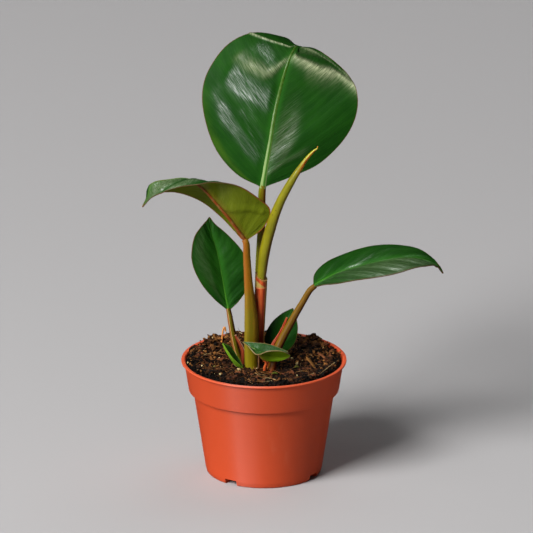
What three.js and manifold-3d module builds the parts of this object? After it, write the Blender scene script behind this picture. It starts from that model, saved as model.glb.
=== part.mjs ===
// A potted congo rojo philodendron: a young plant with seven open leaves and one still rolled,
// in a terracotta-coloured plastic nursery pot filled with coarse potting soil.
// Millimetres, +Z up. The origin is the middle of the pot's underside, and the front is towards -Y.
import * as THREE from "three";
import { mergeVertices } from "three/addons/utils/BufferGeometryUtils.js";
import Module from "manifold-3d";

const wasm = await Module();
wasm.setup();

// Driving dimensions of the pot
const potHeight = 85;
const rimRadius = 60;
const rimThickness = 1.2;
const rimWidth = 2.4;
const bandTopRadius = 57.9;
const bandBottomRadius = 54.6;
const bandBottomHeight = 62.6;
const bandUndercut = 0.6;
const wallTopRadius = 51.4;
const footRadius = 41.8;
const wallThickness = 1.2;
const floorThickness = 1.4;
const centreDiscRadius = 20;
const channelHeight = 4;
const channelSlope = 1;
const footRingWidth = 5;
const footRounding = 0.9;
const footNotch = { reach: 6.5, width: 10, height: 4.2, angles: [-35, 59, 145, 239] };
const drainHole = { radius: 3.5, ringRadius: 27.5, count: 8 };
const potSegments = 60;

// Driving dimensions of the soil
const soilClearance = 0.3;
const soilHoleFlare = 1.15;
const soilEdgeHeight = 83.2;
const soilDishDepth = 2.6;
const soilDishRadius = 46;
const soilCrumb = 0.8;
const soilRings = 9;
const soilSegments = 44;

// Driving dimensions of the plant
const bladeThickness = 0.7;
const keelWidth = 2.2;
const keelFade = 1.6;
const stripTaper = 0.6;
const seatGap = 0.4;
const footDepth = 9;
const stemSides = 10;

const soilDishHeight = soilEdgeHeight - soilDishDepth;
const footHeight = soilDishHeight - footDepth;
const degrees = Math.PI / 180;
const vec = ([x, y, z]) => new THREE.Vector3(x, y, z);
const curveThrough = (points) => new THREE.CatmullRomCurve3(points.map(vec));
const mix = (a, b, share) => a + (b - a) * share;

// Blades are given by their ribs, from the base to the tip. Each rib is a point on one margin, one on
// the midrib and one on the other margin. Seen from above the blade, with the tip away, the first
// margin is the left one.
const topBladeRibs = [
  [[-3, 5, 216], [-0.7, 5, 215.8], [1.6, 5, 216]],
  [[-19, 9, 223.5], [0.2, 6, 222], [19, 8, 222]],
  [[-34, 16, 239], [2.2, 8.5, 234], [41, 14, 231]],
  [[-42.5, 23, 260], [4.8, 12.5, 248.5], [62, 21, 253]],
  [[-44.5, 31, 279.5], [7.7, 18, 266.5], [68, 29, 272]],
  [[-39, 42, 295], [12, 26, 284], [64, 39, 286]],
  [[-26, 52, 309.5], [16.7, 36, 298], [52, 50, 296]],
  [[-8.5, 62, 314], [21.4, 48, 305.4], [36.5, 61, 302.5]],
  [[9, 71, 309.2], [24.7, 61, 304.5], [32, 70, 299.5]],
  [[20, 79, 302], [27, 73, 297], [31, 77, 293]],
  [[28.4, 84, 284], [29, 84, 283.6], [29.6, 84, 283.6]],
];
const middleBladeRibs = [
  [[-11.3, -8.5, 180], [-13.3, -8, 179.5], [-15.3, -7.5, 179.2]],
  [[0.4, -7, 189.7], [-18, -8.5, 186.2], [-21, -1, 184]],
  [[4.6, -8, 202.7], [-25.3, -9.5, 197.1], [-28.9, 9, 189.7]],
  [[-5, -12, 214.2], [-34.2, -10, 208.5], [-42.7, 17, 198.9]],
  [[-18.8, -16, 224.4], [-43.4, -9, 218.9], [-53.5, 21, 202.7]],
  [[-36.2, -21, 228.4], [-55, -8, 226.6], [-65.1, 21, 206.2]],
  [[-55.7, -23, 226.8], [-68, -7, 225.8], [-74.6, 17, 208]],
  [[-72.4, -19, 220.6], [-81.3, -8, 222.8], [-84.3, 8, 212.8]],
  [[-81.4, -13, 213.7], [-84.3, -9, 213], [-85.3, -4, 210.5]],
  [[-87.6, -9.4, 205.6], [-88, -9, 205.2], [-88.2, -8.6, 205.4]],
];
const leftBladeRibs = [
  [[-27.4, 2, 122.6], [-25.7, 2, 122.3], [-24, 2, 122.6]],
  [[-36, 0, 131], [-27, 3, 128.7], [-18, 3, 128.5]],
  [[-46.3, -1, 145], [-29, 5, 139.5], [-12.2, 4, 138.3]],
  [[-52.2, 0, 161], [-31.4, 6.5, 153], [-11.2, 5.5, 150]],
  [[-50.6, 4, 177], [-34, 8.5, 165], [-14.8, 9, 163.5]],
  [[-45.6, 9, 183.5], [-37.2, 11.5, 175.7], [-26, 13, 176]],
  [[-42, 13, 186.2], [-39, 14, 183.3], [-35.8, 15, 184.4]],
  [[-39.8, 16, 188.7], [-39.4, 16, 188.7], [-39, 16, 188.7]],
];
const rightBladeRibs = [
  [[35.7, -4, 144.1], [35.8, -6, 143.6], [36, -8, 143.6]],
  [[36.7, 6, 148.4], [41.4, -6, 147.3], [43.5, -15, 147.6]],
  [[45.7, 15, 155], [52.2, -5.5, 153], [56.6, -25, 153]],
  [[61.7, 19, 160.7], [65.3, -5, 157.5], [71.8, -29, 156.8]],
  [[80, 20, 165], [80.5, -4.5, 161.3], [87.7, -28, 159.6]],
  [[97.2, 18, 167], [95.7, -4, 164.4], [103, -23, 161.6]],
  [[112.4, 12, 165.7], [109.5, -3.5, 164.4], [115.3, -15, 161.7]],
  [[122.5, 4, 161.3], [121, -3, 161.2], [124, -7, 159.5]],
  [[127.6, -1, 157], [127, -2.5, 156.4], [126.6, -3.5, 156.4]],
  [[130.3, -1.6, 152], [130, -2, 151.7], [129.7, -2.4, 151.9]],
];
const backBladeRibs = [
  [[7, 6, 84.7], [8, 6, 84.5], [9, 6, 84.7]],
  [[2.2, 5.5, 89.9], [8.8, 7, 89.5], [15.7, 6.5, 87.4]],
  [[0.4, 5.5, 97.7], [10.6, 8, 96.1], [22.5, 7, 94.9]],
  [[1.9, 7, 104.1], [12.4, 9.5, 103.2], [24.7, 8.5, 103.9]],
  [[6.6, 10, 110.7], [15.3, 11.5, 110.2], [24, 11, 110.9]],
  [[13.8, 13, 115.9], [19, 13.5, 115.6], [22.4, 13.5, 115.3]],
  [[20.6, 16, 118.4], [21, 16, 118.4], [21.4, 16, 118.4]],
];
const frontBladeRibs = [
  [[2.2, -22.6, 91.8], [1, -22, 91.4], [-0.1, -21.4, 91.4]],
  [[12.4, -26, 93.3], [-1.6, -22.8, 94], [13, -18, 93.5]],
  [[19, -26, 97], [-3.6, -22.8, 96.4], [17.8, -19, 96.6]],
  [[13, -31, 102.5], [-4.6, -22.2, 98.4], [10.2, -18, 100.6]],
  [[3, -33, 103.3], [-6, -21, 99.9], [1.5, -17, 103]],
  [[-5, -31, 100], [-8.8, -19.5, 101], [-6.4, -16.5, 103.7]],
  [[-10.8, -23, 103.2], [-12.2, -18, 102.5], [-11.9, -16, 104]],
  [[-14.8, -17.2, 104], [-15.1, -16.8, 104.2], [-15.3, -16.4, 104.4]],
];
const lowBladeRibs = [
  [[-14.9, -13.3, 82.8], [-15.7, -12.5, 82.4], [-14.9, -11.7, 82.9]],
  [[-19.2, -15.5, 88.2], [-19.8, -14, 84.8], [-17, -10, 87.1]],
  [[-22.7, -17, 92.4], [-23.8, -15.5, 90.7], [-19.9, -10, 91.8]],
  [[-26, -16.5, 97.4], [-27.1, -15.5, 96.4], [-23.5, -11.5, 98.1]],
  [[-29.2, -15.6, 102.6], [-29.6, -15.3, 102.4], [-29.4, -14.8, 102.8]],
];

// Blade finish: rows along and columns on each side, the keel of the midrib under the base, how far
// each half bulges towards its upper side, and how much the margins wave.
const blade = (ribs, rows, columns, keel, bulge, wave, waves) => {
  return { ribs, rows, columns, keel, bulge, wave, waves };
};
const topBlade = blade(topBladeRibs, 30, 5, 4.2, [3, 3], 0.8, 3);
const middleBlade = blade(middleBladeRibs, 27, 5, 3.6, [1.5, 4], 0.4, 2);
const leftBlade = blade(leftBladeRibs, 21, 4, 2.6, [1.5, 1.5], 0.4, 2);
const rightBlade = blade(rightBladeRibs, 27, 4, 3, [2, 2], 0.5, 3);
const backBlade = blade(backBladeRibs, 12, 3, 1.4, [0.8, 0.8], 0.2, 2);
const frontBlade = blade(frontBladeRibs, 21, 4, 1.4, [-2.5, -1.5], 0, 1);
const lowBlade = blade(lowBladeRibs, 8, 3, 0.6, [-0.3, -0.8], 0, 1);

// Stems are given by the points of their middle line above the soil and the radius at each point.
// A petiole's last points are left out, because it ends just short of its blade's base, and its last
// radius is the one there.
const topPetiole = {
  points: [[-5, 7.2, 81], [-4.7, 7.2, 105], [-4.1, 6.6, 130], [-3.2, 5.6, 160], [-1.6, 4.6, 190]],
  radii: [2.9, 2.8, 2.8, 2.8, 2.7, 2.7],
};
const middlePetiole = {
  points: [
    [-9.1, -8.2, 81], [-9, -8.2, 100], [-9.1, -8.2, 117], [-10.3, -8.1, 134.7], [-11.3, -8, 147],
    [-12, -8, 165],
  ],
  radii: [4.8, 5.3, 5.1, 3.8, 3.1, 2.7, 2.4],
};
const leftPetiole = {
  points: [[-16.3, 0.5, 81], [-19.9, 0.8, 92], [-22.4, 1, 103.5], [-24.1, 1.5, 113]],
  radii: [2.6, 2.4, 2.3, 2.1, 1.9],
};
const rightPetiole = {
  points: [[5.2, -17.3, 80.5], [7.7, -14, 91], [11.2, -10.5, 99.8], [20.8, -7, 118], [28.3, -6.1, 131.3]],
  radii: [3, 3.1, 3, 2.7, 2.3, 2.2],
};
const backPetiole = {
  points: [[7.7, 5.3, 81.4]],
  radii: [1.2, 1],
};
const frontPetiole = {
  points: [[0.9, -19.6, 80], [0.8, -21, 86]],
  radii: [1.35, 1.3, 0.9],
};
const lowPetiole = {
  points: [[-14.1, -12.6, 80.2]],
  radii: [1, 0.8],
};

// The new leaf is still rolled to a spike, with a small hook at its tip. Its lower end stands in the
// socket of its sheath, whose mouth is cut at a slant.
const newLeaf = {
  points: [
    [-2.2, -1.9, 132], [-2, -2.7, 143], [-1.4, -4.2, 155], [0.7, -6.5, 171.4], [4.4, -9, 187.7],
    [10.8, -12, 208], [20, -14, 227], [25.4, -14.5, 236], [31.2, -15, 245], [36.4, -15.3, 250.8],
    [38.4, -15.5, 252.4], [38.9, -15.5, 254.2],
  ],
  radii: [2.2, 2.9, 3.5, 3.9, 3.8, 3.3, 2.7, 2.1, 1.3, 0.8, 0.6, 0.35],
};
const newLeafSheath = {
  points: [[-3.8, -0.2, 81], [-3.3, -0.4, 108], [-2.6, -1.4, 128], [-2, -2.8, 143], [-1.6, -4, 154]],
  radii: [3.5, 3.9, 4.2, 4.4, 4.3],
};
const sheathMouth = { height: 148, slant: 45 };

// Papery sheaths are flat strips: points of the middle line, with the width and the thickness.
const leftSheath = {
  points: [[-15.3, -4.4, 81], [-15.3, -4.1, 92.5], [-16.8, -3.6, 96.5], [-20.8, -2.6, 104.5]],
  width: 3.4, thickness: 0.9, facing: -10,
};
const rightSheath = {
  points: [[1.6, -12.6, 80.5], [4, -9.8, 92.6], [7, -6.6, 98.7], [12.9, -5, 108.6], [16.9, -4.6, 118.7]],
  width: 3.8, thickness: 0.9, facing: 20,
};
const drySheath = {
  points: [[-4, -15, 80], [-3.6, -14.6, 86], [-3.8, -13.6, 92.6]],
  width: 2, thickness: 0.8, facing: 30,
};
const dryStalk = {
  points: [[-31.3, 35, 82], [-30.4, 35, 88.7], [-29.6, 35, 94.8], [-28.7, 35, 96.6], [-27.7, 35, 93.4]],
  radii: [0.8, 0.7, 0.7, 0.7, 0.5],
};

// A closed skin over rings of points. All rings have the same even count, and run clockwise when seen
// from the first ring's side. A ring's second half mirrors its first half, and both are split alike.
function skin(rings) {
  const count = rings[0].length;
  const half = count / 2;
  const positions = rings.flatMap((ring) => ring.flatMap((point) => point.toArray()));
  const faces = [];
  const quad = (a, b, c, d) => faces.push(a, b, c, a, c, d);
  for (let i = 0; i + 1 < rings.length; i++) {
    for (let k = 0; k < count; k++) {
      const next = (k + 1) % count;
      const [a, b] = [i * count + k, i * count + next];
      if (k < half) quad(a, b, b + count, a + count);
      else quad(b, b + count, a + count, a);
    }
  }
  const last = (rings.length - 1) * count;
  for (let k = 0; k + 1 < half; k++) {
    quad(k + 1, k, count - 1 - k, count - 2 - k);
    quad(last + k, last + k + 1, last + count - 2 - k, last + count - 1 - k);
  }
  const geometry = new THREE.BufferGeometry();
  geometry.setAttribute("position", new THREE.Float32BufferAttribute(positions, 3));
  geometry.setIndex(faces);
  return geometry;
}

// Joining and cutting of closed geometries.
function solidOf(geometry) {
  const bare = geometry.clone();
  bare.deleteAttribute("normal");
  bare.deleteAttribute("uv");
  const merged = mergeVertices(bare, 1e-4);
  const corners = merged.index.array;
  const kept = [];
  for (let i = 0; i < corners.length; i += 3) {
    const [a, b, c] = corners.slice(i, i + 3);
    if (a !== b && b !== c && c !== a) kept.push(a, b, c);
  }
  return new wasm.Manifold(
    new wasm.Mesh({
      numProp: 3,
      vertProperties: new Float32Array(merged.attributes.position.array),
      triVerts: new Uint32Array(kept),
    }),
  );
}

function geometryOf(solid) {
  const mesh = solid.getMesh();
  const geometry = new THREE.BufferGeometry();
  geometry.setAttribute("position", new THREE.BufferAttribute(mesh.vertProperties, 3));
  geometry.setIndex(new THREE.BufferAttribute(mesh.triVerts, 1));
  return geometry;
}

const cutAway = (body, tools) =>
  geometryOf(tools.reduce((left, tool) => left.subtract(solidOf(tool)), solidOf(body)));

// A blade: its upper face is lofted through the ribs, and its underside follows the same grid one
// thickness below, with a keel under the midrib.
function bladeGeometry({ ribs, rows, columns, keel, bulge, wave, waves }) {
  const [firstMargin, midrib, secondMargin] = [0, 1, 2].map((at) => curveThrough(ribs.map((rib) => rib[at])));
  const bulgeEnd = 1.15;
  const upper = [];
  const depth = [];
  for (let row = 0; row <= rows; row++) {
    const along = row / rows;
    const middle = midrib.getPoint(along);
    const ahead = midrib.getTangent(along);
    const keelDepth = keel * (1 - along) ** keelFade;
    const swell = Math.sin(Math.PI * Math.min(1, along * bulgeEnd)) ** 2;
    const line = [];
    const lineDepth = [];
    [firstMargin, secondMargin].forEach((margin, side) => {
      const edge = margin.getPoint(along);
      const reach = edge.distanceTo(middle);
      const inner = Math.min(keelWidth / reach, 0.5);
      const across = edge.clone().sub(middle).multiplyScalar(side ? 1 : -1);
      const up = across.cross(ahead).normalize();
      const half = [];
      for (let column = 0; column <= columns; column++) {
        const share = column < 2 ? column * inner : mix(inner, 1, (column - 1) / (columns - 1));
        const lift = bulge[side] * swell * 4 * share * (1 - share);
        const ripple = wave * swell * share ** 2 * Math.sin(2 * Math.PI * waves * along + 2 * side);
        const keelShare = Math.max(0, 1 - (share * reach) / keelWidth);
        half.push([
          middle.clone().lerp(edge, share).addScaledVector(up, lift + ripple),
          bladeThickness + keelDepth * keelShare,
        ]);
      }
      if (!side) half.reverse();
      for (const [point, thick] of side ? half.slice(1) : half) {
        line.push(point);
        lineDepth.push(thick);
      }
    });
    upper.push(line);
    depth.push(lineDepth);
  }
  const width = upper[0].length;
  const rings = upper.map((line, row) => {
    const before = upper[Math.max(0, row - 1)];
    const after = upper[Math.min(rows, row + 1)];
    const under = line.map((point, at) => {
      const ahead = after[at].clone().sub(before[at]);
      const across = line[Math.min(width - 1, at + 1)].clone().sub(line[Math.max(0, at - 1)]);
      const up = across.cross(ahead).normalize();
      return point.clone().addScaledVector(up, -depth[row][at]);
    });
    return [...line, ...under.reverse()];
  });
  return skin(rings);
}

// A round stem along a smooth line. Grown by a clearance, it is the hole that the stem stands in.
function stemGeometry({ points, radii }, grow = 0, sides = stemSides) {
  const line = curveThrough(points);
  const steps = Math.max(2, 2 * (points.length - 1));
  const start = line.getTangent(0);
  let side = new THREE.Vector3(1, 0, 0).cross(start).normalize();
  const rings = [];
  for (let step = 0; step <= steps; step++) {
    const along = step / steps;
    const ahead = line.getTangent(along);
    side = side.clone().addScaledVector(ahead, -side.dot(ahead)).normalize();
    const other = ahead.clone().cross(side);
    const place = along * (radii.length - 1);
    const index = Math.min(radii.length - 2, Math.floor(place));
    const radius = mix(radii[index], radii[index + 1], place - index) + grow;
    const centre = line.getPoint(along);
    const ring = [];
    for (let k = 0; k < sides; k++) {
      const turn = (2 * Math.PI * k) / sides;
      ring.push(
        centre
          .clone()
          .addScaledVector(side, radius * Math.cos(turn))
          .addScaledVector(other, radius * Math.sin(turn)),
      );
    }
    rings.push(ring);
  }
  return skin(rings);
}

// A strip along a smooth line, flat inside and ridged outside, and narrower towards its tip.
function stripGeometry({ points, width, thickness, facing }) {
  const line = curveThrough(points);
  const steps = 3 * (points.length - 1);
  const flat = new THREE.Vector3(Math.cos(facing * degrees), Math.sin(facing * degrees), 0);
  const [inside, edge, ridge] = [-0.45 * thickness, 0.15 * thickness, 0.5 * thickness];
  const rings = [];
  for (let step = 0; step <= steps; step++) {
    const along = step / steps;
    const ahead = line.getTangent(along);
    const across = flat.clone().addScaledVector(ahead, -flat.dot(ahead)).normalize();
    const out = ahead.clone().cross(across);
    const halfWidth = (width / 2) * (1 - stripTaper * along ** 2);
    const centre = line.getPoint(along);
    const place = (x, y) => centre.clone().addScaledVector(across, x).addScaledVector(out, y);
    rings.push([
      place(halfWidth, edge),
      place(0, ridge),
      place(-halfWidth, edge),
      place(-halfWidth, inside),
      place(0, inside),
      place(halfWidth, inside),
    ]);
  }
  return skin(rings);
}

// The foot of a stem or strip goes on into the soil.
function rooted(piece) {
  const [x, y] = piece.points[0];
  const rootedPiece = { ...piece, points: [[x, y, footHeight], ...piece.points] };
  if (piece.radii) rootedPiece.radii = [piece.radii[0], ...piece.radii];
  return rootedPiece;
}

// A petiole ends just short of its blade's base, in line with the blade's midrib.
function reaching(stem, blade) {
  const [first, base, second] = blade.ribs[0].map(vec);
  const across = second.sub(first).normalize();
  const tangent = curveThrough(blade.ribs.map((rib) => rib[1])).getTangent(0);
  const ahead = tangent.addScaledVector(across, -tangent.dot(across)).normalize();
  const up = across.clone().cross(ahead);
  const end = base.addScaledVector(ahead, -seatGap).addScaledVector(up, -blade.keel / 2);
  const endRadius = stem.radii.at(-1);
  const before = end.clone().addScaledVector(ahead, -1.2 * endRadius);
  return {
    points: [...stem.points, before.toArray(), end.toArray()],
    radii: [...stem.radii, endRadius],
  };
}

const petioles = {
  top_petiole: reaching(rooted(topPetiole), topBlade),
  middle_petiole: reaching(rooted(middlePetiole), middleBlade),
  left_petiole: reaching(rooted(leftPetiole), leftBlade),
  right_petiole: reaching(rooted(rightPetiole), rightBlade),
  back_petiole: reaching(rooted(backPetiole), backBlade),
  front_petiole: reaching(rooted(frontPetiole), frontBlade),
  low_petiole: reaching(rooted(lowPetiole), lowBlade),
};
const sheathStem = rooted(newLeafSheath);
const stalk = rooted(dryStalk);
const strips = {
  left_sheath: rooted(leftSheath),
  right_sheath: rooted(rightSheath),
  dry_sheath: rooted(drySheath),
};

// The wall of the pot tapers from the foot to the band.
const innerFootRadius = footRadius - wallThickness;

function potGeometry() {
  const rimBottom = potHeight - rimThickness;
  const wallTop = bandBottomHeight - bandUndercut;
  const ringInner = footRadius - footRingWidth;
  const outline = [
    [0, 0],
    [centreDiscRadius, 0],
    [centreDiscRadius + channelSlope, channelHeight],
    [ringInner - channelSlope, channelHeight],
    [ringInner, 0],
    [footRadius - footRounding, 0],
    [footRadius, footRounding],
    [wallTopRadius, wallTop],
    [bandBottomRadius, bandBottomHeight],
    [bandTopRadius, rimBottom],
    [rimRadius, rimBottom],
    [rimRadius, potHeight],
    [rimRadius - rimWidth, potHeight],
    [bandTopRadius - wallThickness, rimBottom],
    [bandBottomRadius - wallThickness, bandBottomHeight + wallThickness],
    [wallTopRadius - wallThickness, wallTop + wallThickness],
    [innerFootRadius, channelHeight + floorThickness],
    [centreDiscRadius, channelHeight + floorThickness],
    [centreDiscRadius - channelSlope, floorThickness],
    [0, floorThickness],
  ];
  const body = new THREE.LatheGeometry(outline.map(([r, z]) => new THREE.Vector2(r, z)), potSegments);
  body.rotateX(Math.PI / 2);
  const tools = [];
  for (const angle of footNotch.angles) {
    const notch = new THREE.BoxGeometry(2 * footNotch.reach, footNotch.width, 2 * footNotch.height);
    notch.translate(footRadius, 0, 0);
    notch.rotateZ((angle - 90) * degrees);
    tools.push(notch);
  }
  for (let i = 0; i < drainHole.count; i++) {
    const hole = new THREE.CylinderGeometry(drainHole.radius, drainHole.radius, 4 * floorThickness, 14);
    hole.rotateX(Math.PI / 2);
    hole.translate(drainHole.ringRadius, 0, channelHeight + floorThickness / 2);
    hole.rotateZ(((i * 360) / drainHole.count) * degrees);
    tools.push(hole);
  }
  return cutAway(body, tools);
}

// The soil's top lies level with the rim, dished a little round the stems and lumpy all over.
function soilHeight(x, y) {
  const radius = Math.hypot(x, y);
  const dish = soilDishDepth * Math.max(0, 1 - (radius / soilDishRadius) ** 2);
  const lumps = Math.sin(0.31 * x + 1.3 * Math.sin(0.17 * y)) * Math.cos(0.27 * y - 0.4 * Math.sin(0.21 * x));
  const crumbs = Math.sin(0.83 * x - 0.5 * y) * Math.sin(0.71 * y + 0.6 * x);
  return soilEdgeHeight - dish + soilCrumb * (0.6 * lumps + 0.5 * crumbs);
}

function soilGeometry() {
  const stepHeight = bandBottomHeight + wallThickness + soilClearance;
  const discTop = floorThickness + soilClearance;
  const inset = wallThickness + soilClearance;
  const taper = (bandTopRadius - bandBottomRadius) / (potHeight - rimThickness - bandBottomHeight);
  const edgeRadius = bandBottomRadius - inset + taper * (soilEdgeHeight - soilCrumb - bandBottomHeight);
  const outline = [
    [0, discTop],
    [centreDiscRadius - channelSlope - soilClearance, discTop],
    [centreDiscRadius - soilClearance, discTop + channelHeight],
    [innerFootRadius - soilClearance, discTop + channelHeight],
    [wallTopRadius - inset, stepHeight - bandUndercut],
    [bandBottomRadius - inset, stepHeight],
  ];
  for (let ring = 0; ring < soilRings; ring++) {
    outline.push([edgeRadius * (1 - ring / soilRings), soilEdgeHeight]);
  }
  outline.push([0, soilEdgeHeight]);
  const body = new THREE.LatheGeometry(outline.map(([r, z]) => new THREE.Vector2(r, z)), soilSegments);
  body.rotateX(Math.PI / 2);
  const place = body.attributes.position;
  for (let i = 0; i < place.count; i++) {
    const onTop = place.getZ(i) > soilEdgeHeight - 0.01;
    if (onTop) place.setZ(i, soilHeight(place.getX(i), place.getY(i)));
  }
  const hole = ([x, y], radius) => {
    const points = [[x, y, footHeight - soilClearance], [x, y, potHeight]];
    return stemGeometry({ points, radii: [radius, soilHoleFlare * radius] }, soilClearance);
  };
  const stems = [...Object.values(petioles), sheathStem, stalk];
  const holes = [
    ...stems.map((stem) => hole(stem.points[0], stem.radii[0])),
    ...Object.values(strips).map((strip) => hole(strip.points[0], strip.width / 2)),
  ];
  return cutAway(body, holes);
}

// The new leaf's sheath: a round stem with a socket for the leaf and a slanted mouth.
function sheathGeometry() {
  const socket = stemGeometry(newLeaf, seatGap);
  const mouthCut = 40;
  const mouth = new THREE.BoxGeometry(mouthCut, mouthCut, mouthCut);
  mouth.translate(0, 0, mouthCut / 2);
  mouth.rotateY(sheathMouth.slant * degrees);
  const [mouthX, mouthY] = newLeafSheath.points.at(-1);
  mouth.translate(mouthX, mouthY, sheathMouth.height);
  return cutAway(stemGeometry(sheathStem), [socket, mouth]);
}

// Finishes
const finish = (color, roughness) => new THREE.MeshStandardMaterial({ color, roughness, metalness: 0 });
const finishes = {
  pot: ["#c8502c", 0.5],
  soil: ["#24150c", 0.95],
  blade: ["#17501a", 0.35],
  youngBlade: ["#5c7a1e", 0.4],
  petiole: ["#7a5f1c", 0.45],
  thickPetiole: ["#8c7e1e", 0.45],
  redStem: ["#a03a1c", 0.5],
  rolledLeaf: ["#8f8a1a", 0.45],
  driedSheath: ["#b07a48", 0.8],
  driedStalk: ["#c8742e", 0.8],
};

const plant = new THREE.Group();

function add(name, geometry, kind) {
  const mesh = new THREE.Mesh(geometry, finish(...finishes[kind]));
  mesh.name = name;
  plant.add(mesh);
}

add("pot", potGeometry(), "pot");
add("soil", soilGeometry(), "soil");
add("top_petiole", stemGeometry(petioles.top_petiole), "petiole");
add("top_blade", bladeGeometry(topBlade), "blade");
add("middle_petiole", stemGeometry(petioles.middle_petiole, 0, 12), "thickPetiole");
add("middle_blade", bladeGeometry(middleBlade), "blade");
add("new_leaf_sheath", sheathGeometry(), "redStem");
add("new_leaf", stemGeometry(newLeaf), "rolledLeaf");
add("left_petiole", stemGeometry(petioles.left_petiole), "petiole");
add("left_blade", bladeGeometry(leftBlade), "blade");
add("right_petiole", stemGeometry(petioles.right_petiole), "redStem");
add("right_blade", bladeGeometry(rightBlade), "blade");
add("back_petiole", stemGeometry(petioles.back_petiole), "redStem");
add("back_blade", bladeGeometry(backBlade), "blade");
add("front_petiole", stemGeometry(petioles.front_petiole), "redStem");
add("front_blade", bladeGeometry(frontBlade), "youngBlade");
add("low_petiole", stemGeometry(petioles.low_petiole), "youngBlade");
add("low_blade", bladeGeometry(lowBlade), "youngBlade");
add("left_sheath", stripGeometry(strips.left_sheath), "redStem");
add("right_sheath", stripGeometry(strips.right_sheath), "redStem");
add("dry_sheath", stripGeometry(strips.dry_sheath), "driedSheath");
add("dry_stalk", stemGeometry(stalk, 0, 8), "driedStalk");

export default plant;
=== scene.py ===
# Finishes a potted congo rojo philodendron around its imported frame: the plastic pot, the potting soil,
# the leaves with their veins, the stalks and the papery sheaths. The scene is in metres, +Z up, with the
# front towards -Y. Shapes are written in millimetres, as in the frame, and MM brings them to metres.
import math
import random

import bpy
from bpy.props import FloatProperty, FloatVectorProperty, IntProperty, PointerProperty
from mathutils import Matrix, Vector, noise


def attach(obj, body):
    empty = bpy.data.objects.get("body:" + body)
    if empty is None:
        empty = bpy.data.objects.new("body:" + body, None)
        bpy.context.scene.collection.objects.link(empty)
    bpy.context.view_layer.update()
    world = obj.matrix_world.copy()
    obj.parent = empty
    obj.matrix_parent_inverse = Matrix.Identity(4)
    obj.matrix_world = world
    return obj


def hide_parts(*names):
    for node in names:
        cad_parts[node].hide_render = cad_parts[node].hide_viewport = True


bl_info = {
    "name": "Potted Congo Rojo Philodendron",
    "version": (1, 0, 0),
    "blender": (4, 5, 0),
    "location": "3D View > Sidebar > Philodendron",
    "description": "Builds a young philodendron with its soil and its nursery pot",
    "category": "Add Mesh",
}

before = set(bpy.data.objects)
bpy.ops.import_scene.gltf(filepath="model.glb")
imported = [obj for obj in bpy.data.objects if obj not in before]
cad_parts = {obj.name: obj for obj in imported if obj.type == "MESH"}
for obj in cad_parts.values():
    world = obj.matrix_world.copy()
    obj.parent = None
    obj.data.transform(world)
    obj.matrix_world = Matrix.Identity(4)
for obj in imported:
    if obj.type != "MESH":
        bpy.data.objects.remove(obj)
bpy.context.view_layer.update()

MM = 0.001


def linear(shade):
    """A colour as linear red, green and blue, also where it is written as six hex digits."""
    if not isinstance(shade, str):
        return tuple(shade)
    parts = [int(shade[at:at + 2], 16) / 255 for at in (0, 2, 4)]
    return tuple(part / 12.92 if part <= 0.04045 else ((part + 0.055) / 1.055) ** 2.4 for part in parts)


def shaded(shade, share):
    """A share of a colour's brightness."""
    return tuple(part * share for part in linear(shade))


def colour(name, description, code):
    """A colour property with its default."""
    return FloatVectorProperty(
        name=name, description=description, subtype="COLOR", size=3, min=0, max=1, default=linear(code)
    )


def length(name, description, default):
    """A length property in metres, from a default in millimetres."""
    return FloatProperty(name=name, description=description, unit="LENGTH", min=0, precision=5, default=default * MM)


def count(name, description, default):
    """A whole number property."""
    return IntProperty(name=name, description=description, min=0, default=default)


# Settings that a user would change
class PotSettings(bpy.types.PropertyGroup):
    segments: count("Segments", "Sides of the turned pot", 180)
    edge: length("Edge softness", "Width of the rounding of the moulded edges", 0.35)
    plastic: colour("Plastic", "Colour of the pot", "c84a24")


class SoilSettings(bpy.types.PropertyGroup):
    seed: count("Seed", "Start of the random draw of the grains", 7)
    crumbs: count("Crumbs", "Number of coarse crumbs", 2000)
    clumps: count("Clump crumbs", "Number of crumbs in the clumps at the back", 420)
    grains: count("Grains", "Number of fine grains", 3600)
    chips: count("Chips", "Number of bark chips", 420)
    fibres: count("Fibres", "Number of loose fibres", 420)
    dark: colour("Peat", "Colour of the moist peat", "0c0704")
    brown: colour("Bark", "Colour of the brown crumbs and bark", "3e2411")
    tan: colour("Tan", "Colour of the dry crumbs and fibres", "8a5a2c")
    pale: colour("Pale grains", "Colour of the palest grains", "d0bc84")


class LeafSettings(bpy.types.PropertyGroup):
    thickness: length("Thickness", "Thickness of the blades", 0.6)
    pleats: length("Pleats", "Height of the folds that follow the side veins", 0.55)
    grooves: length("Vein grooves", "Depth of the side veins", 0.12)
    deep: colour("Deep green", "Colour of a grown leaf's upper side", "0f3808")
    fresh: colour("Fresh green", "Lighter green in the same leaf", "1b4a0c")
    under: colour("Underside", "Colour of a grown leaf's underside", "4e5a08")
    rib: colour("Midrib", "Colour of the midrib on the upper side", "86a060")
    margin: colour("Margin", "Colour of the thin edge of the leaves", "5c4424")
    young: colour("Young leaf", "Colour of the small leaves' underside", "5a760a")


class StalkSettings(bpy.types.PropertyGroup):
    # The dark red paints the shade on the right side of the right, back and front stalks, and the brown paints it on
    # the top stalk.
    olive: colour("Olive", "Green side of the stalks", "5c5408")
    brown: colour("Brown", "Brown side of the stalks", "74400f")
    red: colour("Red", "Red of the sheaths", "b84018")
    dark: colour("Dark red", "Dark side of the stalks and sheaths", "4a1a12")


class StageSettings(bpy.types.PropertyGroup):
    floor: colour("Floor", "Colour of the plain floor", "b4b2b2")
    sky: colour("Surround", "Colour of the even light all round", "303134")
    key: FloatProperty(name="Key light", description="Power of the soft light", unit="POWER", default=425.0)
    sheen: FloatProperty(name="Sheen light", description="Power of the gloss light", unit="POWER", default=180.0)
    distance: FloatProperty(name="Camera distance", description="From the plant", unit="LENGTH", default=12.0)


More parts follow.
